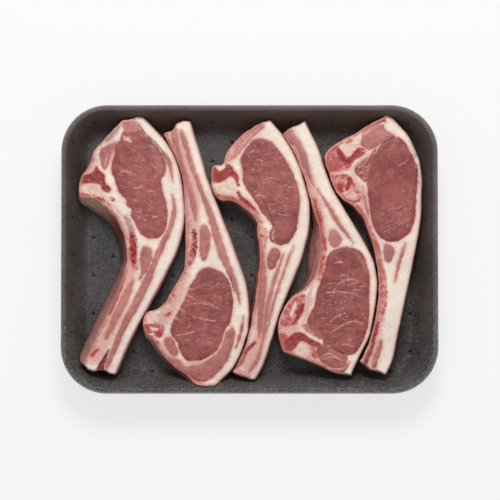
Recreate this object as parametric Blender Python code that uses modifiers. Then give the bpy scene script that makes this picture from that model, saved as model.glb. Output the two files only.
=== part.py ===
"""Foam meat tray holding five lamb rib chops that lie head to tail.

The origin is under the middle of the tray, +X runs along its long side and +Z up. Sizes here are in
millimetres, and MM turns them into metres where a mesh is made.
"""
import math

import bmesh
import bpy
import numpy as np

MM = 0.001

# Tray: a rounded rectangle with a flat lip, steep walls and a flat floor.
TRAY_LENGTH = 234.0
TRAY_WIDTH = 179.0
TRAY_HEIGHT = 27.0
CORNER_RADIUS = 29.0
FOAM_THICKNESS = 3.6
LIP_WIDTH = 3.2
WALL_SLOPE = 2.5
LIP_BEND = 1.6
FLOOR_BEND = 10.0
RING_INSETS = (0.0, 2.4, 2.9, 3.5, 5.5, 7.5, 9.5, 11.0, 12.5, 14.0, 15.5, 17.0)
CORNER_STEPS = 8

# Chops: how finely each is divided, and what they all share.
SECTIONS_ALONG = 40
POINTS_ACROSS = 5
EDGE_RADIUS = 1.6
EDGE_STEPS = 2
CROWN = 0.5
END_REACH = 8
CLEARANCE = 0.5
THINNEST = 2.6

# A station is one cut across a chop, from the loin end to the rib end: x, y at the bone side, x, y at
# the fat side, and how far the underside stands out past the bone side. The two ends pass through
# head_end and tail_end on their way from the bone side to the fat side.
CHOPS = {
    "chop_1": {
        "thickness": 16.6,
        "stations": (
            (-73.0, 81.6, -66.5, 82.2, 0.0),
            (-80.0, 79.8, -63.0, 79.0, 0.0),
            (-89.5, 70.0, -53.5, 68.6, 0.5),
            (-97.6, 61.0, -48.6, 61.0, 0.5),
            (-98.3, 56.8, -46.4, 56.0, 2.0),
            (-100.2, 52.0, -44.7, 51.0, 1.5),
            (-105.8, 43.0, -42.3, 40.0, 0.5),
            (-105.6, 32.6, -41.0, 28.0, 1.5),
            (-99.0, 31.8, -40.9, 22.0, 6.5),
            (-92.5, 28.8, -41.2, 16.0, 6.4),
            (-82.0, 18.0, -44.2, 3.0, 5.4),
            (-76.6, 1.0, -49.8, -10.0, 4.6),
            (-78.5, -16.5, -56.2, -22.5, 4.8),
            (-94.0, -51.0, -73.4, -55.0, 5.4),
            (-105.2, -70.6, -83.2, -77.6, 2.6),
        ),
        "head_end": ((-70.0, 82.4),),
        "tail_end": ((-100.3, -74.6), (-96.4, -75.8), (-93.0, -74.6), (-89.8, -75.2), (-87.0, -77.2)),
    },
    "chop_2": {
        "thickness": 16.0,
        "stations": (
            (-32.0, -83.6, -21.4, -83.8, 0.5),
            (-42.0, -76.3, -11.8, -75.6, 2.4),
            (-53.0, -67.0, -5.4, -64.6, 2.4),
            (-59.5, -57.0, -1.8, -53.4, 2.6),
            (-64.8, -52.6, -0.9, -49.0, 1.6),
            (-65.9, -43.3, -0.3, -41.0, 0.0),
            (-63.4, -39.0, -0.4, -36.5, 0.0),
            (-58.6, -37.6, -0.7, -31.5, 0.5),
            (-54.0, -34.8, -1.3, -26.5, 0.5),
            (-50.3, -30.0, -2.1, -21.5, 0.5),
            (-48.0, -24.5, -3.7, -16.0, 0.5),
            (-41.3, -14.0, -7.7, -5.0, 0.5),
            (-39.2, 0.0, -12.4, 8.0, 0.5),
            (-40.4, 37.0, -25.2, 41.5, 0.0),
            (-43.9, 53.5, -30.0, 57.0, 0.0),
            (-53.4, 72.6, -37.1, 79.9, 0.0),
        ),
        "head_end": ((-27.0, -84.4),),
        "tail_end": ((-50.6, 73.6), (-48.0, 74.4), (-45.6, 78.8), (-41.2, 80.4)),
    },
    "chop_3": {
        "thickness": 17.0,
        "stations": (
            (7.5, 79.2, 12.9, 80.6, 0.0),
            (-3.0, 73.0, 19.8, 72.7, 0.0),
            (-12.3, 63.2, 25.7, 63.0, 0.0),
            (-15.2, 57.8, 28.3, 57.7, 0.0),
            (-16.6, 53.0, 30.6, 52.3, 0.0),
            (-22.3, 51.8, 32.3, 47.6, 0.0),
            (-24.0, 42.0, 34.7, 39.4, 0.0),
            (-19.4, 31.4, 36.6, 31.6, 1.0),
            (-13.0, 30.6, 37.2, 27.2, 1.2),
            (-7.5, 28.8, 37.4, 22.6, 1.6),
            (2.0, 21.3, 36.7, 13.0, 2.2),
            (5.2, 16.0, 35.9, 8.0, 2.0),
            (5.0, 9.5, 34.9, 3.5, 1.4),
            (6.6, -5.0, 31.1, -9.0, 1.8),
            (3.7, -36.0, 19.0, -39.0, 2.6),
            (0.3, -53.0, 13.9, -55.5, 0.0),
            (-5.6, -69.5, 8.4, -71.5, 0.0),
            (-9.8, -76.0, 3.6, -80.6, 0.0),
        ),
        "head_end": (),
        "tail_end": ((-6.0, -78.4), (-2.0, -79.6), (1.0, -80.8)),
    },
    "chop_4": {
        "thickness": 16.2,
        "stations": (
            (57.5, -77.4, 63.3, -78.2, 0.5),
            (51.5, -75.8, 64.9, -74.0, 0.8),
            (38.5, -69.9, 69.6, -64.2, 0.8),
            (25.5, -65.2, 74.2, -54.4, 0.8),
            (20.9, -62.6, 75.6, -49.5, 0.8),
            (18.2, -53.0, 77.2, -40.5, 0.0),
            (18.7, -43.0, 78.6, -31.5, 0.0),
            (23.5, -33.3, 79.4, -21.5, 0.5),
            (27.2, -29.3, 79.0, -16.5, 1.0),
            (36.0, -23.3, 76.8, -6.5, 2.6),
            (42.3, -13.0, 72.4, 3.0, 6.6),
            (44.3, 2.0, 65.9, 14.2, 7.8),
            (42.6, 16.5, 58.8, 26.0, 3.2),
            (38.4, 31.5, 51.9, 37.8, 0.0),
            (34.3, 46.0, 47.0, 50.5, 0.0),
            (28.8, 59.8, 43.0, 63.0, 0.0),
            (21.6, 72.4, 34.7, 80.4, 0.0),
        ),
        "head_end": (),
        "tail_end": ((24.4, 75.2), (27.4, 76.8), (30.6, 77.8)),
    },
    "chop_5": {
        "thickness": 16.8,
        "stations": (
            (83.6, 82.2, 89.2, 81.8, 0.0),
            (72.5, 77.0, 95.7, 75.4, 0.0),
            (67.5, 73.0, 98.5, 72.0, 0.0),
            (55.5, 67.0, 102.7, 64.5, 0.0),
            (47.3, 59.8, 105.6, 56.5, 0.0),
            (47.5, 55.0, 106.6, 52.3, 0.0),
            (51.0, 43.0, 107.6, 43.5, 0.0),
            (57.0, 32.4, 107.2, 35.2, 0.0),
            (65.8, 26.5, 107.0, 26.0, 0.5),
            (72.5, 15.7, 106.2, 15.0, 0.5),
            (79.0, -3.0, 102.8, -3.5, 0.0),
            (81.3, -26.0, 98.0, -26.5, 0.0),
            (77.0, -52.0, 92.2, -53.0, 0.0),
            (72.3, -65.0, 89.0, -68.5, 0.0),
            (69.4, -69.6, 84.8, -78.2, 0.0),
        ),
        "head_end": ((85.6, 83.2),),
        "tail_end": ((72.4, -72.0), (75.4, -74.8), (80.0, -75.6)),
    },
}

FOAM_BLACK = (0.045, 0.042, 0.040, 1.0)
RAW_MEAT = (0.39, 0.12, 0.11, 1.0)


def material(name, colour, roughness):
    made = bpy.data.materials.new(name)
    made.use_nodes = True
    shader = made.node_tree.nodes["Principled BSDF"]
    shader.inputs["Base Color"].default_value = colour
    shader.inputs["Roughness"].default_value = roughness
    shader.inputs["Metallic"].default_value = 0.0
    return made


def smooth_max(a, b, reach):
    """The larger of two heights, with the corner rounded off where they differ by less than reach."""
    share = np.clip(0.5 + 0.5 * (a - b) / reach, 0, 1)
    return b + (a - b) * share + reach * share * (1 - share)


def inset_of(x, y):
    """Distance inward from the tray's outer edge."""
    beyond_x = np.abs(x) - (TRAY_LENGTH / 2 - CORNER_RADIUS)
    beyond_y = np.abs(y) - (TRAY_WIDTH / 2 - CORNER_RADIUS)
    in_corner = np.hypot(np.maximum(beyond_x, 0), np.maximum(beyond_y, 0))
    return CORNER_RADIUS - in_corner - np.minimum(np.maximum(beyond_x, beyond_y), 0)


def inner_height(inset):
    """Height of the tray's inner surface: lip, straight wall and floor, joined by soft bends."""
    wall = TRAY_HEIGHT - WALL_SLOPE * (inset - LIP_WIDTH)
    with_floor = smooth_max(wall, FOAM_THICKNESS, FLOOR_BEND)
    return -smooth_max(-with_floor, -TRAY_HEIGHT, LIP_BEND)


def rounded_rectangle(length, width, radius):
    """Points counter-clockwise round a rectangle with quarter-circle corners."""
    points = []
    for corner, (side_x, side_y) in enumerate(((1, 1), (-1, 1), (-1, -1), (1, -1))):
        centre_x = side_x * (length / 2 - radius)
        centre_y = side_y * (width / 2 - radius)
        for step in range(CORNER_STEPS + 1):
            angle = math.pi / 2 * (corner + step / CORNER_STEPS)
            points.append((centre_x + radius * math.cos(angle), centre_y + radius * math.sin(angle)))
    return points


def make_tray(collection):
    """One open skin from the lip to the floor, given its wall by Solidify."""
    built = bmesh.new()
    rings = []
    for inset in RING_INSETS:
        outline = rounded_rectangle(TRAY_LENGTH - 2 * inset, TRAY_WIDTH - 2 * inset, CORNER_RADIUS - inset)
        z = inner_height(inset)
        rings.append([built.verts.new((x * MM, y * MM, z * MM)) for x, y in outline])
    for outer, inner in zip(rings, rings[1:]):
        for i in range(len(outer)):
            built.faces.new((outer[i - 1], outer[i], inner[i], inner[i - 1]))
    built.faces.new(rings[-1])
    mesh = bpy.data.meshes.new("tray")
    built.to_mesh(mesh)
    built.free()
    mesh.shade_smooth()
    mesh.materials.append(material("foam", FOAM_BLACK, 0.6))
    tray = bpy.data.objects.new("tray", mesh)
    collection.objects.link(tray)
    shell = tray.modifiers.new("foam_wall", "SOLIDIFY")
    shell.thickness = FOAM_THICKNESS * MM
    shell.offset = -1
    shell.use_even_offset = True


def spline(points, samples):
    """Catmull-Rom curve through the rows of a table, read at evenly spaced steps of the row number."""
    points = np.array(points, float)
    padded = np.vstack([2 * points[0] - points[1], points, 2 * points[-1] - points[-2]])
    where = np.linspace(0, len(points) - 1, samples)
    start = np.minimum(where.astype(int), len(points) - 2)
    t = (where - start)[:, None]
    before, here, following, after = (padded[start + k] for k in range(4))
    linear = following - before
    square = 2 * before - 5 * here + 4 * following - after
    cube = 3 * here - before - 3 * following + after
    return here + 0.5 * (linear * t + square * t**2 + cube * t**3)


def end_edge(corners, samples):
    """Points evenly spaced along straight pieces from corner to corner."""
    corners = np.array(corners, float)
    lengths = np.append(0, np.cumsum(np.hypot(*np.diff(corners, axis=0).T)))
    where = np.linspace(0, lengths[-1], samples)
    return np.column_stack([np.interp(where, lengths, corners[:, k]) for k in (0, 1)])


def loop_edges(loop):
    """The bone side, tail end, fat side and head end of a closed loop, each from start to finish."""
    closed = np.concatenate([loop, loop[:1]])
    corners = np.cumsum([0, SECTIONS_ALONG, POINTS_ACROSS, SECTIONS_ALONG, POINTS_ACROSS])
    bone_side, tail, fat_side, head = (closed[a : b + 1] for a, b in zip(corners, corners[1:]))
    return bone_side, tail, fat_side[::-1], head[::-1]


def outline_of(chop):
    """Closed loop round a chop's widest part, and the flare of the underside at each of its points."""
    stations = spline(chop["stations"], SECTIONS_ALONG + 1)
    bone_side, fat_side, flare = stations[:, :2], stations[:, 2:4], stations[:, 4]
    head = end_edge([bone_side[0], *chop["head_end"], fat_side[0]], POINTS_ACROSS + 1)
    tail = end_edge([bone_side[-1], *chop["tail_end"], fat_side[-1]], POINTS_ACROSS + 1)
    loop = np.vstack([bone_side[:-1], tail[:-1], fat_side[:0:-1], head[:0:-1]])
    return loop, np.append(flare, np.zeros(len(loop) - len(flare)))


def outward(loop):
    """Unit normals that point out of a closed loop."""
    ahead = np.roll(loop, -1, axis=0)
    tangent = ahead - np.roll(loop, 1, axis=0)
    tangent /= np.hypot(*tangent.T)[:, None]
    turn = np.sign(np.sum(loop[:, 0] * ahead[:, 1] - ahead[:, 0] * loop[:, 1]))
    return turn * np.column_stack([tangent[:, 1], -tangent[:, 0]])


def face_grid(loop):
    """Grid inside a loop: straight from bone side to fat side, bent near the ends to meet them."""
    bone_side, tail, fat_side, head = loop_edges(loop)
    u = np.linspace(0, 1, SECTIONS_ALONG + 1)[:, None, None]
    v = np.linspace(0, 1, POINTS_ACROSS + 1)[None, :, None]
    ruled = (1 - v) * bone_side[:, None] + v * fat_side[:, None]
    return ruled + (1 - u) ** END_REACH * (head - ruled[0]) + u**END_REACH * (tail - ruled[-1])


def standing(points, share, thickness):
    """Adds to x, y the height at a share of the thickness, over the tray's floor or up its wall."""
    lift = inner_height(inset_of(points[..., 0], points[..., 1])) - FOAM_THICKNESS
    z = FOAM_THICKNESS + CLEARANCE + lift + share * np.maximum(thickness - lift, THINNEST)
    return np.concatenate([points, z[..., None]], axis=-1)


def side_rings(loop, flare, thickness):
    """Rings down the side: a quarter circle from the top face, then a straight slope to the underside."""
    normals = outward(loop)
    rings = []
    for step in range(EDGE_STEPS + 1):
        angle = math.pi / 2 * step / EDGE_STEPS
        sideways = EDGE_RADIUS * (math.sin(angle) - 1)
        share = 1 - EDGE_RADIUS * (1 - math.cos(angle)) / thickness
        rings.append(standing(loop + sideways * normals, share, thickness))
    foot = loop + flare[:, None] * normals
    rings.append(standing(foot, EDGE_RADIUS / thickness, thickness))
    rings.append(standing(foot - EDGE_RADIUS * normals, 0.0, thickness))
    return rings


def grid_quads(index):
    """The quads of a grid of vertex numbers."""
    corners = (index[:-1, :-1], index[1:, :-1], index[1:, 1:], index[:-1, 1:])
    return np.stack(corners, axis=-1).reshape(-1, 4)


def make_chop(name, chop, meat, collection):
    """Loft: a crowned top face, side rings and an underside, joined into one closed body."""
    loop, flare = outline_of(chop)
    thickness = chop["thickness"]
    rings = side_rings(loop, flare, thickness)
    across = np.linspace(-1, 1, POINTS_ACROSS + 1)
    top = standing(face_grid(rings[0][:, :2]), 1.0, thickness)
    top[:, :, 2] += CROWN * (1 - across**2)
    under = standing(face_grid(rings[-1][:, :2]), 0.0, thickness)
    index = np.arange(top[..., 0].size).reshape(top.shape[:2])
    rim = np.concatenate([index[:-1, 0], index[-1, :-1], index[:0:-1, -1], index[0, :0:-1]])
    numbers = [rim]
    for k in range(len(rings) - 2):
        numbers.append(2 * index.size + k * len(rim) + np.arange(len(rim)))
    numbers.append(rim + index.size)
    faces = [grid_quads(index)[:, ::-1], grid_quads(index + index.size)]
    for upper, lower in zip(numbers, numbers[1:]):
        faces.append(np.column_stack([upper, np.roll(upper, -1), np.roll(lower, -1), lower]))
    points = np.vstack([top.reshape(-1, 3), under.reshape(-1, 3), *rings[1:-1]]) * MM
    mesh = bpy.data.meshes.new(name)
    mesh.from_pydata(points.tolist(), [], np.vstack(faces).tolist())
    face_outwards(mesh)
    mesh.shade_smooth()
    mesh.materials.append(meat)
    collection.objects.link(bpy.data.objects.new(name, mesh))


def face_outwards(mesh):
    built = bmesh.new()
    built.from_mesh(mesh)
    bmesh.ops.recalc_face_normals(built, faces=built.faces)
    built.to_mesh(mesh)
    built.free()


def main():
    for old in list(bpy.data.objects):
        bpy.data.objects.remove(old)
    collection = bpy.data.collections.new("meat_tray_pack")
    bpy.context.scene.collection.children.link(collection)
    make_tray(collection)
    meat = material("raw_meat", RAW_MEAT, 0.4)
    for name, chop in CHOPS.items():
        make_chop(name, chop, meat, collection)


main()
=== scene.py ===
import math

import bpy
import numpy as np
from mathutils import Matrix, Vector


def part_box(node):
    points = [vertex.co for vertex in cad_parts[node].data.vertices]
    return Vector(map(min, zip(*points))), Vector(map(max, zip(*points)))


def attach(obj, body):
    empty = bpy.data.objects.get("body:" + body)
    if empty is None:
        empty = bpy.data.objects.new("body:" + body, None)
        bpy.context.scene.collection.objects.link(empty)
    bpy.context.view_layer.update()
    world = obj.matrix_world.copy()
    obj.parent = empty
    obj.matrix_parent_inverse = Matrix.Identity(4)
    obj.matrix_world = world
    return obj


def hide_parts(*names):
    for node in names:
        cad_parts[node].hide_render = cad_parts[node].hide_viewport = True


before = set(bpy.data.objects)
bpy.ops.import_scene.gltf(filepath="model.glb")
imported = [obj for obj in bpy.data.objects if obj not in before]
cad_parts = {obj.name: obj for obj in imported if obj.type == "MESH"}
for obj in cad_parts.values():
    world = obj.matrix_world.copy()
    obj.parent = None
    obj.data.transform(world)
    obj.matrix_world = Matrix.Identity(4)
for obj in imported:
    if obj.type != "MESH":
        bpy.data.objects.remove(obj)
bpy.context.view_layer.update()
mm = 0.001  # shapes are worked out in millimetres and turned into metres in makeMesh


def srgb(red, green, blue):
    # a colour as it is seen on a screen, 0 to 255, turned into the linear values that shaders take
    seen = np.array([red, green, blue]) / 255
    linear = np.where(seen <= 0.04045, seen / 12.92, ((seen + 0.055) / 1.055) ** 2.4)
    return (*linear.tolist(), 1.0)


def spline(points, perStep, closed=False):
    # Catmull-Rom curve through rows of numbers, perStep samples from each row to the next
    points = np.array(points, float)
    if closed:
        padded = np.vstack([points[-1:], points, points[:2]])
    else:
        padded = np.vstack([2 * points[0] - points[1], points, 2 * points[-1] - points[-2]])
    spans = len(padded) - 3
    where = np.arange(spans * perStep + (0 if closed else 1)) / perStep
    start = np.minimum(where.astype(int), spans - 1)
    t = (where - start)[:, None]
    before, here, following, after = (padded[start + k] for k in range(4))
    linear = following - before
    square = 2 * before - 5 * here + 4 * following - after
    cube = 3 * here - before - 3 * following + after
    return here + 0.5 * (linear * t + square * t**2 + cube * t**3)


def evenly(curve, samples, lengths=None):
    # the same curve read at evenly spaced distances along it
    if lengths is None:
        lengths = np.append(0, np.cumsum(np.linalg.norm(np.diff(curve[:, :2], axis=0), axis=1)))
    where = np.linspace(0, lengths[-1], samples)
    return np.column_stack([np.interp(where, lengths, column) for column in curve.T])


def waves(x, y, size, seed, count=26):
    # soft noise of about unit height: a sum of sine waves of random direction and of length near size
    draw = np.random.default_rng(seed)
    angle = draw.uniform(0, 2 * math.pi, count)
    number = 2 * math.pi / (size * draw.uniform(0.7, 1.8, count))
    phase = draw.uniform(0, 2 * math.pi, count)
    total = np.zeros(np.shape(x))
    for k in range(count):
        total += np.sin(number[k] * (x * math.cos(angle[k]) + y * math.sin(angle[k])) + phase[k])
    return total / math.sqrt(count / 2)


def softStep(value, low, high):
    # 0 below low, 1 above high and a smooth S between
    t = np.clip((value - low) / (high - low), 0, 1)
    return t * t * (3 - 2 * t)


fieldReach = 6.0  # a field is worked out this far outside its shape, and is held beyond it


def insideDistance(points, outline):
    # signed distance to a closed outline, positive inside: nearest edge, with crossings counted for the sign
    nearest = np.full(len(points), 1e9)
    crossed = np.zeros(len(points), bool)
    for a, b in zip(outline, np.roll(outline, -1, axis=0)):
        edge = b - a
        toPoint = points - a
        along = np.clip(toPoint @ edge / max(edge @ edge, 1e-12), 0, 1)
        gap = toPoint - along[:, None] * edge
        nearest = np.minimum(nearest, np.einsum("ij,ij->i", gap, gap))
        if a[1] != b[1]:
            spans = (a[1] > points[:, 1]) != (b[1] > points[:, 1])
            crossed ^= spans & (toPoint[:, 0] < edge[0] * toPoint[:, 1] / edge[1])
    return np.sqrt(nearest) * np.where(crossed, 1, -1)


def strokeDistance(points, path):
    # signed distance to a brush stroke: half the width there, less the distance to the stroke's middle
    best = np.full(len(points), -1e9)
    for x, y, width in path:
        best = np.maximum(best, width / 2 - np.hypot(points[:, 0] - x, points[:, 1] - y))
    return best


def shapeField(points, shape):
    # an outline has rows x, y, and a stroke has rows x, y, width
    if len(shape[0]) == 2:
        curve = spline(shape, 3, closed=True)
    else:
        curve = spline(shape, 8)
        steps = max(int(np.sum(np.hypot(*np.diff(curve[:, :2], axis=0).T)) / 0.35), 2)
        curve = evenly(curve, steps)
    low = curve[:, :2].min(0) - fieldReach
    high = curve[:, :2].max(0) + fieldReach
    near = np.all((points > low) & (points < high), axis=1)
    field = np.full(len(points), -fieldReach)
    if len(shape[0]) == 2:
        field[near] = insideDistance(points[near], curve)
    else:
        field[near] = strokeDistance(points[near], curve)
    return np.clip(field, -fieldReach, fieldReach)


def layerField(points, shapes):
    # the union of a layer's shapes, and its tone: that of the nearest shape, or of the last one
    # that a point lies in
    field = np.full(len(points), -fieldReach)
    tones = np.full(len(points), 0.5)
    for tone, shape in shapes:
        own = shapeField(points, shape)
        share = np.maximum(softStep(own - field, -0.5, 0.5) * (field < 0), softStep(own, -0.3, 0.7))
        tones += share * (tone - tones)
        field = np.maximum(field, own)
    return field, tones


def makeMesh(name, points, faces, attributes, material):
    # points in millimetres, faces as quads or longer polygons, attributes as one value or a vector a point
    mesh = bpy.data.meshes.new(name)
    mesh.from_pydata((np.asarray(points) * mm).tolist(), [], faces)
    for label, values in attributes.items():
        layer = mesh.attributes.new(label, "FLOAT", "POINT")
        layer.data.foreach_set("value", np.asarray(values, np.float32))
    mesh.shade_smooth()
    mesh.materials.append(material)
    made = bpy.data.objects.new(name, mesh)
    bpy.context.scene.collection.objects.link(made)
    return made


def gridQuads(index):
    # one quad for each cell of a table of point numbers
    corners = (index[:-1, :-1], index[1:, :-1], index[1:, 1:], index[:-1, 1:])
    return np.stack(corners, axis=-1).reshape(-1, 4)


class Wire:
    # a socket of a material's graph: Python's operators on it add Math nodes
    def __init__(self, graph, socket):
        self.graph = graph
        self.socket = socket

    def maths(self, operation, first, second=0.0):
        return self.graph.node("ShaderNodeMath", {"operation": operation}, {0: first, 1: second})

    def __add__(self, other):
        return self.maths("ADD", self, other)

    def __sub__(self, other):
        return self.maths("SUBTRACT", self, other)

    def __mul__(self, other):
        return self.maths("MULTIPLY", self, other)

    def __rsub__(self, other):
        return self.maths("SUBTRACT", other, self)

    def __abs__(self):
        return self.maths("ABSOLUTE", self)

    __radd__ = __add__
    __rmul__ = __mul__

    def most(self, other):
        return self.maths("MAXIMUM", self, other)

    def least(self, other):
        return self.maths("MINIMUM", self, other)


class Graph:
    # a material and its node tree, built up call by call
    def __init__(self, name):
        self.material = bpy.data.materials.new(name)
        self.material.use_nodes = True
        self.tree = self.material.node_tree
        self.shader = self.tree.nodes["Principled BSDF"]
        self.ending = self.tree.nodes["Material Output"]

    def node(self, kind, settings=None, sockets=None, output=0):
        # makes a node, sets its settings, then gives its sockets their values or links
        made = self.tree.nodes.new(kind)
        for label, value in (settings or {}).items():
            setattr(made, label, value)
        for label, value in (sockets or {}).items():
            self.give(made.inputs[label], value)
        return Wire(self, made.outputs[output])

    def give(self, socket, value):
        if isinstance(value, Wire):
            self.tree.links.new(value.socket, socket)
        else:
            socket.default_value = value

    def attribute(self, label):
        return self.node("ShaderNodeAttribute", {"attribute_name": label}, output="Fac")

    def place(self, stretch=(1.0, 1.0, 1.0), turn=0.0):
        # Object coordinates in millimetres, turned about Z by turn degrees and then stretched
        here = self.node("ShaderNodeTexCoord", output="Object")
        rotation = (0, 0, math.radians(turn))
        turned = self.node("ShaderNodeMapping", None, {"Vector": here, "Rotation": rotation})
        sizes = tuple(part / mm for part in stretch)
        return self.node("ShaderNodeVectorMath", {"operation": "MULTIPLY"}, {0: turned, 1: sizes})

    def noise(self, place, size, detail=2.0, rough=0.5, twist=0.0):
        sockets = {"Vector": place, "Scale": 1 / size, "Detail": detail}
        sockets.update({"Roughness": rough, "Distortion": twist})
        return self.node("ShaderNodeTexNoise", None, sockets)

    def cells(self, place, size, feature="F1", output="Distance"):
        sockets = {"Vector": place, "Scale": 1 / size}
        return self.node("ShaderNodeTexVoronoi", {"feature": feature}, sockets, output)

    def step(self, value, low, high, bottom=0.0, top=1.0):
        sockets = {0: value, 1: low, 2: high, 3: bottom, 4: top}
        return self.node("ShaderNodeMapRange", {"interpolation_type": "SMOOTHSTEP"}, sockets)

    def mix(self, share, first, second, blend="MIX"):
        settings = {"data_type": "RGBA", "blend_type": blend}
        return self.node("ShaderNodeMix", settings, {0: share, 6: first, 7: second}, output=2)

    def bump(self, height, depth, normal=None):
        sockets = {"Height": height, "Distance": depth * mm, "Strength": 1.0}
        if normal:
            sockets["Normal"] = normal
        return self.node("ShaderNodeBump", None, sockets)

    def finish(self, **sockets):
        for label, value in sockets.items():
            self.give(self.shader.inputs[label.replace("_", " ")], value)
        return self.material

# stations: cuts across a chop from the loin end to the rib end, as x, y at the bone side, x, y at the
# fat side, how far the foot of the bone side stands out, and that side's tone (dark red 0 to cream 1).
# layers: what the cut face shows, as (tone, shape). Muscle tone runs from the deep eye at 0 to pink
# strips at 1, bone tone from cream at 0 to orange-red at 1, marrow tone from dark at 0 to bright at 1,
# film tone from grey at 0 to pink at 1, and marbled tone is the strength of the marbling.

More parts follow.
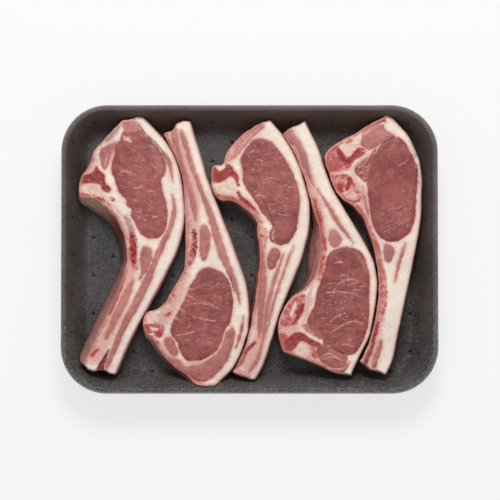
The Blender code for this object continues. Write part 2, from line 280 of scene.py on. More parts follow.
chopOne = {
    "thickness": 16.6,
    "stations": [
        (-73, 81.6, -66.5, 82.2, 0, 0.5), (-80, 79.8, -63, 79, 0, 0.5), (-89.5, 70, -53.2, 68.6, 0.5, 0.5),
        (-97.6, 61, -48.3, 61, 0.5, 0.6), (-98.3, 56.8, -46.1, 56, 2, 0.6),
        (-100.2, 52, -44.4, 51, 1.5, 0.6), (-105.8, 43, -42, 40, 0.5, 0.7),
        (-105.6, 32.6, -40.7, 28, 1.5, 0.95), (-99, 31.8, -40.6, 22, 6.5, 0.95),
        (-92.5, 28.8, -40.9, 16, 6.4, 0.9), (-82, 18, -43.9, 3, 5.4, 0.15),
        (-76.6, 1, -49.5, -10, 4.6, 0.1), (-78.5, -16.5, -55.9, -22.5, 4.8, 0.35),
        (-93.6, -51, -73.4, -55, 5.8, 0.6), (-103.6, -70.6, -83.2, -77.6, 4.6, 0.75),
    ],
    "headEnd": [(-70, 82.4)],
    "tailEnd": [(-100.3, -74.6), (-96.4, -75.8), (-93, -74.6), (-89.8, -75.2), (-87, -77.2)],
    "muscle": [
        (0.0, [(-79, 73.6), (-72, 76.6), (-68.4, 76.4), (-65.4, 72.2), (-62, 69.2), (-58.8, 66),
               (-55.2, 61.6),
               (-52.6, 56.4), (-51.8, 51), (-53.2, 46.4), (-55, 42.4), (-54, 37), (-52.5, 32),
               (-51.3, 25), (-51, 18), (-52, 13), (-54, 9.5),
               (-57, 7.2), (-60, 6.6), (-63.5, 7), (-67, 9), (-70, 13.5), (-72, 18), (-74, 21), (-73.5, 25),
               (-76, 27), (-77, 31), (-79.5, 33.5), (-81.5, 36.5), (-83, 41), (-84.5, 45.5), (-86.5, 50),
               (-85, 57), (-84, 61), (-84.5, 65), (-81, 68)]),
        (0.75, [(-79.4, 78), (-75, 80), (-70.2, 79.6), (-68, 76), (-66, 73), (-70, 74), (-77, 73)]),
        (0.5, [(-93.4, 62), (-90, 64.4), (-86, 66.4), (-83, 67), (-84, 62), (-86.6, 56), (-89, 50.6),
               (-91.4, 50.4),
               (-93, 55)]),
        (0.6, [(-65, 2), (-62.5, 1.5), (-60.8, -2), (-60.5, -6), (-62, -9.5), (-64, -14), (-68.6, -19.5),
               (-67.5, -14), (-68, -8), (-67.8, -2), (-66.5, 1)]),
        (0.7, [(-54, 61), (-52, 59.5), (-49.5, 56), (-48, 52), (-47.5, 47), (-47.8, 42.5), (-49, 46),
               (-51.5, 54)]),
        (0.7, [(-48, 34, 0.6), (-47, 29, 2), (-47, 23, 3), (-48.5, 16, 3.2), (-51, 9.5, 3), (-54, 3, 3.5),
               (-57.5, -5, 3.6), (-60, -11, 3.6), (-63, -18, 5), (-69, -31, 5), (-75, -42, 4.6),
               (-80, -52, 4),
               (-84, -62, 3.6), (-88.5, -73, 2.6)]),
        (0.8, [(-72.5, -19, 1.5), (-75, -25, 4), (-78, -32, 5), (-81, -38, 5), (-84, -44, 4.4),
               (-89, -55, 2.4)]),
        (0.3, [(-78, -14, 2), (-80, -20, 4), (-82.5, -27, 4), (-84.5, -33, 3.4), (-87, -40, 2)]),
    ],
    "bone": [
        (0.1, [(-106, 39.8), (-100, 40.6), (-94, 40.6), (-91.5, 36.5), (-89, 33.5), (-95, 32.4),
               (-105, 33.5)]),
        (0.05, [(-90, 30, 3), (-84, 25.5, 4), (-78, 19, 4), (-74, 13, 3)]),
        (0.8, [(-106, 35.5, 1.4), (-102, 33.4, 3.4), (-96, 32.6, 2.8), (-90, 30, 2), (-85, 25.6, 0.8)]),
        (0.75, [(-86.4, 32.4, 1.6), (-84.8, 31, 2.2)]),
        (0.75, [(-101, -66, 3), (-97.5, -63.5, 4), (-94.5, -61.5, 2.4)]),
        (0.7, [(-74, 14, 3), (-72.4, 6, 5.4), (-72.4, -2, 5.4), (-71, -12, 3)]),
        (0.3, [(-90, -46, 2), (-93.5, -54, 4), (-98, -62, 6), (-102, -69, 5)]),
    ],
    "marrow": [
        (0.3, [(-105.4, 43), (-103.5, 46.5), (-100, 47), (-97.5, 48.4), (-95.5, 52), (-93.5, 49.5),
               (-90.5, 46.5),
               (-89.8, 43), (-89, 40.5), (-86.5, 38.2), (-87.2, 36), (-89.5, 35.7), (-92, 37.2), (-93, 40),
               (-98, 41.4), (-104.5, 40.8)]),
        (0.85, [(-73.4, 10.4, 1.4), (-73, 5, 3), (-72.6, 0, 3.6), (-72.4, -5, 3.4), (-72, -10.4, 1.8)]),
        (0.95, [(-98.4, -66.8, 1.4), (-96.8, -64.8, 2.6), (-94.6, -62.6, 1.2)]),
        (0.1, [(-87.2, -62, 0.6), (-89, -66, 1.8), (-91.4, -71, 3.2), (-92.2, -74.4, 4.4)]),
    ],
    "line": [
        (0, [(-79, 71), (-76, 70), (-74.4, 71), (-73.8, 68.4), (-72.8, 66), (-75.4, 67), (-78, 67.8)]),
        (0, [(-72, 38.2, 0.7), (-69, 38.5, 1), (-66, 40, 0.7)]),
        (0, [(-81, 47.8, 0.5), (-78, 48.6, 0.9), (-75, 48.4, 0.5)]),
        (0, [(-70, 23, 0.7), (-67.5, 24, 0.9)]),
        (0, [(-60, 20, 0.5), (-57, 20.6, 0.7)]),
        (0, [(-85.4, 62, 0.8), (-86.2, 57, 1.8), (-87.6, 51, 1.4)]),
        (0, [(-88.4, 60, 0.5), (-89.4, 56, 0.9), (-90.2, 52, 0.5)]),
        (0, [(-63, 36, 0.4), (-60, 36.4, 0.6), (-58, 35.6, 0.4)]),
    ],
    "dark": [
        (0, [(-87.4, -62, 0.4), (-90.6, -68, 0.8), (-94.4, -74, 0.8)]),
        (0, [(-74.2, 8.6, 0.9), (-72.8, 7.4, 1.3), (-71.2, 8.6, 0.9)]),
        (0, [(-72.6, 5.2, 0.9), (-71.6, 3.6, 1.3), (-71, 1.8, 1)]),
        (0, [(-73.4, 1, 1), (-72.8, -0.6, 1.2)]),
        (0, [(-71, -1, 1), (-71.6, -3.4, 1.3), (-73, -4.4, 1)]),
        (0, [(-72.6, -7, 1.2), (-71, -8.6, 0.9)]),
        (0, [(-68.2, 77.2, 0.5), (-64.4, 72, 0.8), (-58.2, 66.4, 0.7), (-54.4, 61.6, 0.7), (-51.8, 56, 0.4)]),
    ],
    "film": [
        (0.0, [(-90, 66.4), (-87.4, 72), (-83, 76.6), (-80.6, 77.4), (-81.4, 73), (-84.4, 69.8),
               (-87.4, 67)]),
        (0.0, [(-101.4, 51.6, 1), (-99.4, 54.6, 2.4), (-97.2, 57, 1.6)]),
        (0.2, [(-77, 21, 2), (-74.8, 16, 4), (-73.2, 12, 3)]),
        (1.0, [(-61, 64, 2), (-57.6, 57, 4), (-55.8, 48, 4.4)]),
    ],
    "marbled": [(0.4, [(-82, 58), (-62, 66), (-53, 46), (-56, 14), (-70, 18), (-80, 40)])],
    "blush": [
        (0, [(-72, -8, 7), (-80, -30, 11), (-88, -50, 11), (-97, -66, 11)]),
        (0, [(-96, 55, 4), (-103, 36, 6), (-90, 30, 4), (-76, 10, 5)]),
    ],
}

chopTwo = {
    "thickness": 16.0,
    "stations": [
        (-32, -83.6, -21.4, -83.8, 0.5, 0.25), (-42, -76.3, -11.8, -75.6, 2.4, 0.2),
        (-53, -67, -5.4, -64.6, 2.4, 0.25), (-59.5, -57, -1.6, -53.4, 2.6, 0.95),
        (-64.8, -52.6, -0.7, -49, 1.6, 0.95), (-65.9, -43.3, -0.1, -41, 0, 0.5),
        (-63.4, -39, -0.2, -36.5, 0, 0.4), (-58.6, -37.6, -0.7, -31.5, 0.5, 0.4),
        (-54, -34.8, -1.3, -26.5, 0.5, 0.4), (-50.3, -30, -2.1, -21.5, 0.5, 0.4),
        (-48, -24.5, -3.7, -16, 0.5, 0.35), (-41.3, -14, -7.7, -5, 0.5, 0.35),
        (-39.8, 0, -12.4, 8, 0.5, 0.4), (-41, 37, -25.2, 41.5, 0, 0.4), (-44.5, 53.5, -30, 57, 0, 0.4),
        (-53.7, 72.6, -37.1, 79.9, 0, 0.4),
    ],
    "headEnd": [(-27, -84.4)],
    "tailEnd": [(-50.6, 73.6), (-48, 74.4), (-45.6, 78.8), (-41.2, 80.4)],
    "muscle": [
        (0.0, [(-25, -11), (-21, -12), (-17, -14.2), (-13.3, -18), (-11.5, -22), (-10.5, -27), (-10, -34),
               (-11, -42), (-12.5, -46.5), (-15, -50), (-16.2, -54), (-17.8, -58), (-20, -62.6), (-25, -66.6),
               (-30, -68.9), (-35, -69.8), (-39, -69), (-43, -64), (-45, -58), (-48.5, -53), (-49, -49),
               (-48, -45), (-44.5, -39), (-42, -34), (-39, -28), (-37.5, -23.5), (-34.5, -19), (-32, -14.5),
               (-29, -12)]),
        (0.55, [(-11, -48), (-9.3, -50), (-9, -54), (-10, -59), (-12, -65), (-14, -70), (-17, -74),
               (-20, -77),
                (-24, -80.6), (-28, -82.2), (-33, -81.8), (-38, -78), (-41.5, -73.5), (-38, -72.3),
                (-31, -71.2),
                (-25, -67.8), (-19.2, -63.4), (-16.6, -57.6), (-14.6, -51.8)]),
        (0.45, [(-53.5, -57), (-50, -54), (-47, -56), (-45.4, -60), (-44.2, -64), (-46, -66.5),
               (-50, -64.5)]),
        (0.65, [(-57, -63, 1.6), (-53, -66.5, 3), (-47, -69.5, 4), (-42, -73, 4), (-37, -78.5, 2)]),
        (0.75, [(-30.5, 14), (-27.5, 15), (-24.8, 12), (-24, 7), (-25, 0), (-26.5, -5), (-28.5, -7.3),
                (-30.3, -5), (-31, 0), (-31, 7)]),
        (0.8, [(-42.5, 73, 3), (-40, 66, 3.2), (-36.5, 54, 2.8), (-32, 42, 2.8), (-27.5, 30, 3.2),
               (-25, 24, 3.8),
               (-21, 11, 4.8), (-17, -2, 5), (-14.5, -8, 4.6), (-12, -13.5, 3.6), (-9.5, -20, 3),
               (-7.5, -26, 2.2),
               (-5.8, -34, 0.6)]),
        (0.5, [(-3.8, -42, 0.8), (-4.5, -48, 1.8), (-6, -54, 2.2), (-8.4, -61, 1)]),
        (0.8, [(-47.2, 74.5, 4.4), (-46, 68, 4.2), (-42, 55, 3.4), (-38, 41, 3), (-36, 33, 3.4),
               (-34.4, 26, 4),
               (-33.5, 18, 1)]),
        (0.9, [(-51, 69, 1.4), (-47, 60, 2), (-43, 50, 2), (-41, 42, 1.8), (-39.2, 31, 1)]),
    ],
    "bone": [
        (0.12, [(-66.3, -43.5), (-64.5, -39.6), (-58, -38.4), (-55, -40), (-54.5, -43.5), (-58, -45.4),
               (-64, -45.6)]),
        (0.45, [(-40, -12, 2), (-43, -20, 4), (-47, -28, 5), (-51.5, -35, 5)]),
        (0.6, [(-38, 0, 2.5), (-37.2, -4, 3.4), (-37, -9, 2)]),
        (0.5, [(-38, 26, 2), (-37.6, 14, 3), (-37.6, 4, 3)]),
        (0.75, [(-66, -52, 2), (-62, -55, 4.6), (-57.5, -58, 3)]),
        (0.5, [(-53, 72.5, 1.6), (-50.6, 71.5, 2.4)]),
        (0.95, [(-65.3, -46.4), (-60, -46.2), (-56, -46.4), (-53, -48), (-53.6, -52.4), (-56.5, -55),
               (-60, -52.6),
                (-63.4, -52.4), (-65.4, -50.5)]),
        (0.75, [(-52, -41, 2.4), (-49, -39.6, 3)]),
        (0.75, [(-50, -25.6, 2), (-47, -29, 3.6)]),
        (0.9, [(-34.4, 12, 2.4), (-34.4, 4, 4), (-35.6, -4, 4.4), (-37, -9.6, 2)]),
        (0.1, [(-61.4, -48.8, 1.4), (-59, -49.6, 2), (-56.6, -49.4, 1)]),
        (0.2, [(-62.4, -52.6, 1), (-59.4, -52.6, 1.6)]),
    ],
    "marrow": [
        (0.7, [(-64.8, -48, 1.4), (-63, -50, 1.6)]),
        (0.6, [(-57.4, -52, 1.4), (-55.6, -53.6, 1.8)]),
        (0.9, [(-51, -40.5, 1.4), (-49.6, -40, 1.6)]),
        (0.9, [(-49, -26.6, 1.4), (-47.4, -28.4, 1.6)]),
    ],
    "line": [
        (0, [(-39, -34.8, 0.4), (-33, -33.6, 0.7), (-27, -34.2, 0.9), (-20, -36.6, 0.6)]),
        (0, [(-29, -32.4, 0.5), (-23, -34.6, 0.9), (-18, -37.6, 0.4)]),
        (0, [(-36, -41.2, 0.4), (-28, -43.6, 0.8), (-21, -44.4, 0.4)]),
        (0, [(-46, -53.6, 0.4), (-40, -52.6, 0.8), (-33.6, -51, 0.5)]),
        (0, [(-39, -71, 1.6), (-36.4, -70.4, 2.4), (-33, -70.6, 3), (-30, -70, 1.2)]),
        (0, [(-16, -14.4, 0.8), (-12.6, -19, 1.2), (-10.6, -25, 1)]),
        (0, [(-47, -55.8, 0.6), (-45, -60, 1), (-43.4, -65.5, 0.8)]),
        (0, [(-42, -23, 1.6), (-37, -24.6, 1.2), (-33.4, -24.8, 0.3)]),
        (0, [(-43, -27.4, 1.6), (-39, -28.6, 1.2), (-35.6, -29.6, 0.3)]),
        (0, [(-44, -31.4, 1.6), (-40, -31.6, 1.2), (-36.6, -33, 0.3)]),
        (0, [(-46, -37, 1.6), (-42.6, -37.4, 1.2), (-39.6, -39, 0.3)]),
        (0, [(-48.4, -42.6, 1.4), (-45, -43, 1), (-42.4, -44.4, 0.3)]),
        (0, [(-44, 68, 1.2), (-41, 56, 1.6), (-36, 44, 1.6), (-33, 34, 1.4), (-31.6, 22, 1)]),
    ],
    "dark": [
        (0, [(-35.8, 10.4, 0.9), (-33.2, 10, 1.2), (-34.6, 7.6, 1.1), (-33, 6.6, 0.8)]),
        (0, [(-32.8, 4.6, 0.9), (-34.6, 3.4, 1.2), (-33, 1.4, 1.1)]),
        (0, [(-35.4, 0.6, 0.8), (-34, -1.4, 1.2), (-33.4, -4, 0.9)]),
        (0, [(-14.6, -13, 0.5), (-11.2, -19.5, 0.7), (-9.4, -27, 0.6)]),
    ],
    "film": [(0.5, [(-57, -45.4, 0.8), (-55, -42, 1), (-54.6, -38.6, 0.8)])],
    "marbled": [(0.4, [(-34, -20), (-14, -18), (-11, -38), (-18, -58), (-40, -62), (-44, -44)])],
    "blush": [
        (0, [(-47, 70, 9), (-38, 45, 9), (-35, 20, 8), (-38, -5, 7), (-46, -30, 8), (-58, -50, 10)]),
        (0, [(-56, -60, 6), (-44, -72, 6), (-34, -80, 4)]),
    ],
}

chopThree = {
    "thickness": 17.0,
    "stations": [
        (7.5, 79.2, 12.9, 80.6, 0, 0.6), (-3, 73, 19.8, 72.7, 0, 0.6), (-12.3, 63.2, 26, 63, 0, 0.6),
        (-15.2, 57.8, 28.6, 57.7, 0, 0.6), (-16.6, 53, 30.9, 52.3, 0, 0.6),
        (-22.3, 51.8, 32.6, 47.6, 0, 0.6), (-24, 42, 35, 39.4, 0, 0.3), (-19.4, 31.4, 36.9, 31.6, 1, 0.2),
        (-13, 30.6, 37.5, 27.2, 1.2, 0.2), (-7.5, 28.8, 37.7, 22.6, 1.6, 0.2), (2, 21.3, 37, 13, 2.2, 0.15),
        (5.2, 16, 36.2, 8, 2, 0.1), (5, 9.5, 34.9, 3.5, 1.4, 0.1), (6.6, -5, 31.1, -9, 1.8, 0.15),
        (3, -36, 19, -39, 2.6, 0.2), (-0.4, -53, 13.9, -55.5, 0, 0.3), (-6.3, -69.5, 8.4, -71.5, 0, 0.4),
        (-10.5, -76, 3.6, -80.6, 0, 0.4),
    ],
    "headEnd": [],
    "tailEnd": [(-6, -78.4), (-2, -79.6), (1, -80.8)],
    "muscle": [
        (0.05, [(5, 69.3), (10, 68.8), (14, 67.2), (17, 64.3), (19.5, 60.5), (22.5, 57), (24.5, 53), (27, 48),
                (29, 43), (30.5, 38), (31.3, 32), (31.3, 26), (30.5, 20), (29.8, 14), (28, 9), (24.5, 4.5),
                (20.5, 2.3), (17, 2.8), (14, 5), (12.5, 8), (12.5, 11), (14.2, 13), (13.6, 16), (11, 19),
                (7.6, 23),
                (4.8, 28), (2, 31.8), (-2, 38), (-4, 42), (-4.2, 49), (-5.5, 55), (-4.8, 59), (-2, 63.5),
                (2, 68)]),
        (0.95, [(-12, 56, 1.6), (-8.5, 60, 4), (-6, 64, 5.4), (-2, 69.5, 5.4), (3, 74, 5), (8, 77, 3)]),
        (0.25, [(14.5, 1), (18, 0.5), (19.5, -3), (18, -7), (16, -11.5), (12, -12.5), (10.8, -9), (11, -5),
                (12.5, -1.5)]),
        (0.7, [(8, 2, 1.6), (8, -8, 4), (8.3, -18, 4.8), (8, -26, 4.6), (7.3, -36, 4), (6.5, -48, 3),
               (6, -55, 1.2)]),
        (0.8, [(21, -3, 1), (17, -15, 2.2), (13.3, -27, 2.6), (11, -37, 3), (9.3, -50, 2.6), (7.5, -60, 1.6),
               (4, -70, 2.4), (-1, -77, 2)]),
        (0.8, [(27.5, 2, 0.8), (23, -9.5, 1.4), (19, -21, 1.8), (14.5, -35, 1.9), (11.7, -47, 1.4),
               (9.8, -55, 0.7)]),
        (0.75, [(-9, 31.5, 1.4), (-3, 27, 2.2), (3, 21.5, 2.6), (8, 16.5, 1.6)]),
        (0.55, [(-9, -74, 2), (-5, -69, 4), (-2.5, -63, 2.4)]),
    ],
    "bone": [
        (0.08, [(-23.5, 40.4), (-20, 40.4), (-15, 42.7), (-11.5, 44.2), (-9.3, 42.5), (-8.2, 38),
               (-9.5, 35.3),
                (-13, 34), (-18, 35.5), (-22.3, 37.5)]),
        (0.85, [(-22, 34, 1.6), (-18, 32.6, 3), (-12, 32.2, 2.6), (-8, 31, 1)]),
        (0.55, [(5.4, 14), (8, 14.5), (11, 12), (11.5, 7), (10.5, 2), (8, -1), (6.4, 3), (5.8, 8)]),
        (0.6, [(5.2, -4, 1.5), (5, -14, 2), (4.4, -26, 2), (3, -40, 1.4)]),
        (0.5, [(-8.4, -76, 3), (-4.4, -76.5, 4), (0, -78.4, 2)]),
    ],
    "marrow": [
        (0.45, [(-24, 50), (-22.5, 51.6), (-20, 50.5), (-18.5, 48.8), (-15.5, 50.5), (-14, 53.3), (-11, 52),
                (-9.5, 49), (-7, 46), (-6.8, 42), (-6, 40.2), (-7.4, 39.6), (-10, 44.6), (-12.5, 45.2),
                (-14.5, 43.7), (-17, 41.7), (-21, 41.2), (-24, 43)]),
        (0.5, [(-7, 35.5, 1.6), (-4.5, 31.5, 2.8), (1, 27, 2.4), (5.6, 22.8, 1.2)]),
        (0.5, [(3.6, -58, 1.6), (0, -61.5, 2.4), (-3.5, -64.8, 1.4)]),
    ],
    "line": [
        (0, [(-3, 34.4, 1), (1, 29.8, 1.4), (5.8, 23, 1.4), (9.8, 17.4, 1)]),
        (0, [(3.6, 33.4, 0.6), (6.4, 33.7, 1), (9.6, 32.8, 0.6)]),
        (0, [(16, 4, 0.5), (14.4, 8, 1), (15.4, 13, 0.8)]),
        (0, [(-1, 60, 0.5), (3, 61.6, 0.7)]),
        (0, [(10, 44, 0.4), (13.5, 44.6, 0.6)]),
        (0, [(2, 50, 0.4), (5, 49.2, 0.6), (8, 50, 0.4)]),
        (0, [(5.5, 56, 0.4), (8.5, 55.4, 0.6)]),
        (0, [(-11, 58.5, 0.8), (-7.4, 66, 1), (-1.6, 72.6, 1), (4, 77, 0.8)]),
        (0, [(-8.6, 57, 0.6), (-4.6, 64.4, 1.2), (0.6, 70.6, 1.2), (6, 75, 0.8)]),
        (0, [(-4.8, 44, 0.8), (-5.4, 51, 1.2), (-6.6, 57.5, 1)]),
        (0, [(22, 40, 0.4), (26, 38.6, 0.6)]),
        (0, [(18, 22, 0.4), (23, 21.2, 0.5)]),
    ],
    "dark": [
        (0, [(7.6, 32, 0.4), (10.2, 27, 0.6), (12.8, 21.4, 0.6), (15.2, 15.4, 0.4)]),
        (0, [(6.6, 9, 0.9), (8.4, 8.2, 0.8)]),
    ],
    "film": [(1.0, [(27, 44, 1.4), (29, 36, 2), (29.6, 26, 1.6)])],
    "marbled": [(0.35, [(-2, 58), (18, 58), (27, 40), (26, 14), (18, 10), (2, 34)])],
    "blush": [
        (0, [(6, 77, 5), (-6, 66, 6), (-13, 56, 5)]),
        (0, [(-22, 34, 5), (-10, 32, 5), (3, 22, 6), (7, -5, 7), (8, -35, 8), (5, -60, 9), (-2, -75, 9)]),
    ],
}

chopFour = {
    "thickness": 16.2,
    "stations": [
        (57.5, -77.4, 63.3, -78.2, 0.5, 0.3), (51.5, -75.8, 64.9, -74, 0.8, 0.3),
        (38.5, -69.9, 69.6, -64.2, 0.8, 0.35), (25.5, -65.2, 74.4, -54.4, 0.8, 0.4),
        (20.9, -62.6, 75.8, -49.5, 0.8, 0.4), (18.2, -53, 77.4, -40.5, 0, 0.3),
        (18.7, -43, 78.8, -31.5, 0, 0.4), (23.5, -33.3, 79.6, -21.5, 0.5, 0.5),
        (27.2, -29.3, 79.2, -16.5, 1, 0.5), (36, -23.3, 77, -6.5, 2.6, 0.35),
        (42.3, -13, 72.4, 3, 6.6, 0.4), (44.3, 2, 65.9, 14.2, 7.8, 0.45), (42.6, 16.5, 58.8, 26, 3.2, 0.3),
        (37.8, 31.5, 51.9, 37.8, 0, 0.3), (33.7, 46, 47, 50.5, 0, 0.3), (28.2, 59.8, 43, 63, 0, 0.3),
        (21, 72.4, 34.7, 80.4, 0, 0.3),
    ],
    "headEnd": [],
    "tailEnd": [(24.4, 75.2), (27.4, 76.8), (30.6, 77.8)],
    "muscle": [
        (0.0, [(60, 1.5), (55, 0.8), (51.5, -1), (49, -3.5), (47.5, -7), (47, -11), (44, -20), (42.5, -25),
               (40.5, -34), (39, -38), (36.5, -42), (36, -45.5), (38.5, -47.5), (41, -49.5), (44, -53),
               (45.5, -57), (46, -60), (50, -60), (53, -62.5), (56.5, -65), (60, -66), (65, -65.3),
               (67.5, -62.5), (70, -58.5), (72.5, -53), (73.8, -48), (74.5, -42), (74.9, -30), (74.9, -20),
               (74.3, -13), (71.5, -4.5), (69, -1), (65, 1)]),
        (0.3, [(42.8, -59.4), (46.5, -58.8), (50, -59.6), (54, -62), (57, -64), (61, -65.2), (60.6, -70),
               (58.6, -73.4), (53, -74), (48, -71.8), (44, -69), (42, -64.5)]),
        (0.3, [(33, -47.6), (37.9, -46), (41.3, -48.2), (44.6, -52.3), (45, -56), (41.3, -54.4),
               (36.5, -51.6)]),
        (0.85, [(51, 12.5), (54.5, 12), (57, 8), (57.3, 5), (55.5, 1.9), (52.5, 1), (50, 3.2), (49.2, 8)]),
        (0.75, [(24.2, 74, 3.4), (30, 66, 4.4), (33, 60, 4.4), (35, 53, 3.6), (37.5, 46, 2.2),
               (40, 39.5, 0.7)]),
        (0.5, [(22.6, 72.6, 1.8), (27, 66, 1.4)]),
        (0.8, [(42.5, 37.5, 0.6), (46, 32, 1.4), (49.5, 26.5, 2.4), (53, 20.5, 3), (57, 14.5, 2.6),
               (61, 9, 1.6),
               (64.5, 4.5, 0.6)]),
        (0.5, [(62, -70, 1), (58.5, -75, 2.2), (52, -75.4, 1.4)]),
    ],
    "bone": [
        (0.85, [(19, -47), (22, -38), (25.5, -32.6), (30, -28.6), (34, -27.5), (35, -31), (32, -38),
               (29, -46),
               (24, -48)]),
        (0.05, [(28.8, -33.4, 1.4), (27.6, -37, 2.8), (26, -41, 1.6)]),
        (0.1, [(31, -58.8), (34, -57.6), (36, -61), (37.4, -64.6), (34, -67.3), (28.4, -65.8), (29, -62)]),
        (0.8, [(38.4, -61, 1.6), (40, -64, 3.6), (40.6, -67, 2.6)]),
        (0.4, [(20, -51, 2.4), (20.6, -56, 3), (22, -62, 1.6)]),
        (0.75, [(31.5, -23.5, 1), (37, -17.5, 2), (41.5, -9, 2), (43.4, 0, 1.4)]),
        (0.85, [(40.6, 31, 2.4), (42.4, 24, 3.6), (44.6, 14, 4), (46, 4, 4), (46, -6, 3.6), (44.6, -14, 2.6),
                (43, -19, 1)]),
        (0.95, [(18.2, -52), (24, -53.4), (22.4, -58), (23, -62.8), (20.4, -62), (18.2, -56)]),
    ],
    "marrow": [
        (0.4, [(24, -55), (27, -52.5), (31, -51.5), (35, -53), (39, -56), (43, -57.6), (44.3, -59),
               (42, -60.8),
                (38, -60), (34, -57.2), (31, -57.8), (29, -60.8), (26, -63.3), (22.6, -63), (21.6, -58.5)]),
        (0.5, [(41.2, 29, 1), (42.8, 21, 2), (44.8, 11, 1.6), (45.8, 4, 0.8)]),
        (0.3, [(33.8, -34.5, 2), (31.6, -39, 3.6), (28.8, -44.5, 2)]),
    ],
    "line": [
        (0, [(40, -21, 2), (36.8, -30, 3.4), (35.4, -40, 3.4), (33, -46.5, 2)]),
        (0, [(18.5, -49, 1), (25, -48.2, 1.6), (33, -48.4, 1.6), (38, -50.5, 1), (44, -57, 0.9)]),
        (0, [(35.5, -48.5, 0.5), (39, -53, 0.8), (43, -55, 0.5)]),
        (0, [(44, -67.6, 0.4), (49, -64.8, 0.8), (55, -67.4, 0.6), (58, -71.6, 0.4)]),
        (0, [(46, -68.4, 0.4), (52, -67, 0.8), (59, -69.6, 0.4)]),
        (0, [(53.4, -8.2, 0.9), (56, -7.6, 1.5), (58.2, -8.2, 0.7)]),
        (0, [(53, -25, 0.4), (58, -20, 0.7), (64, -18.8, 0.6), (70, -19.6, 0.4)]),
        (0, [(48.6, -27, 0.7), (53, -26.6, 1), (60, -26.8, 0.6), (67, -27.6, 0.4)]),
        (0, [(50, -45, 0.4), (55, -41.4, 0.8), (61, -39.8, 0.5)]),
        (0, [(51, -51.4, 0.4), (58, -47.2, 0.8), (64, -44.8, 0.7), (70, -45.4, 0.4)]),
    ],
    "dark": [
        (0, [(50.5, -60.4, 0.6), (54, -62.6, 0.9), (59, -65, 0.9)]),
    ],
    "film": [(1.0, [(66, -2, 1.6), (71, -8, 2), (73, -16, 1.6)])],
    "marbled": [(0.6, [(50, -16), (71, -16), (73, -46), (64, -62), (46, -56), (42, -40)])],
    "blush": [
        (0, [(26, 72, 7), (35, 50, 6), (42, 30, 6), (46, 5, 6), (43, -18, 4)]),
        (0, [(36, -32, 6), (26, -45, 10), (28, -58, 14), (40, -66, 8), (54, -75, 4)]),
    ],
}

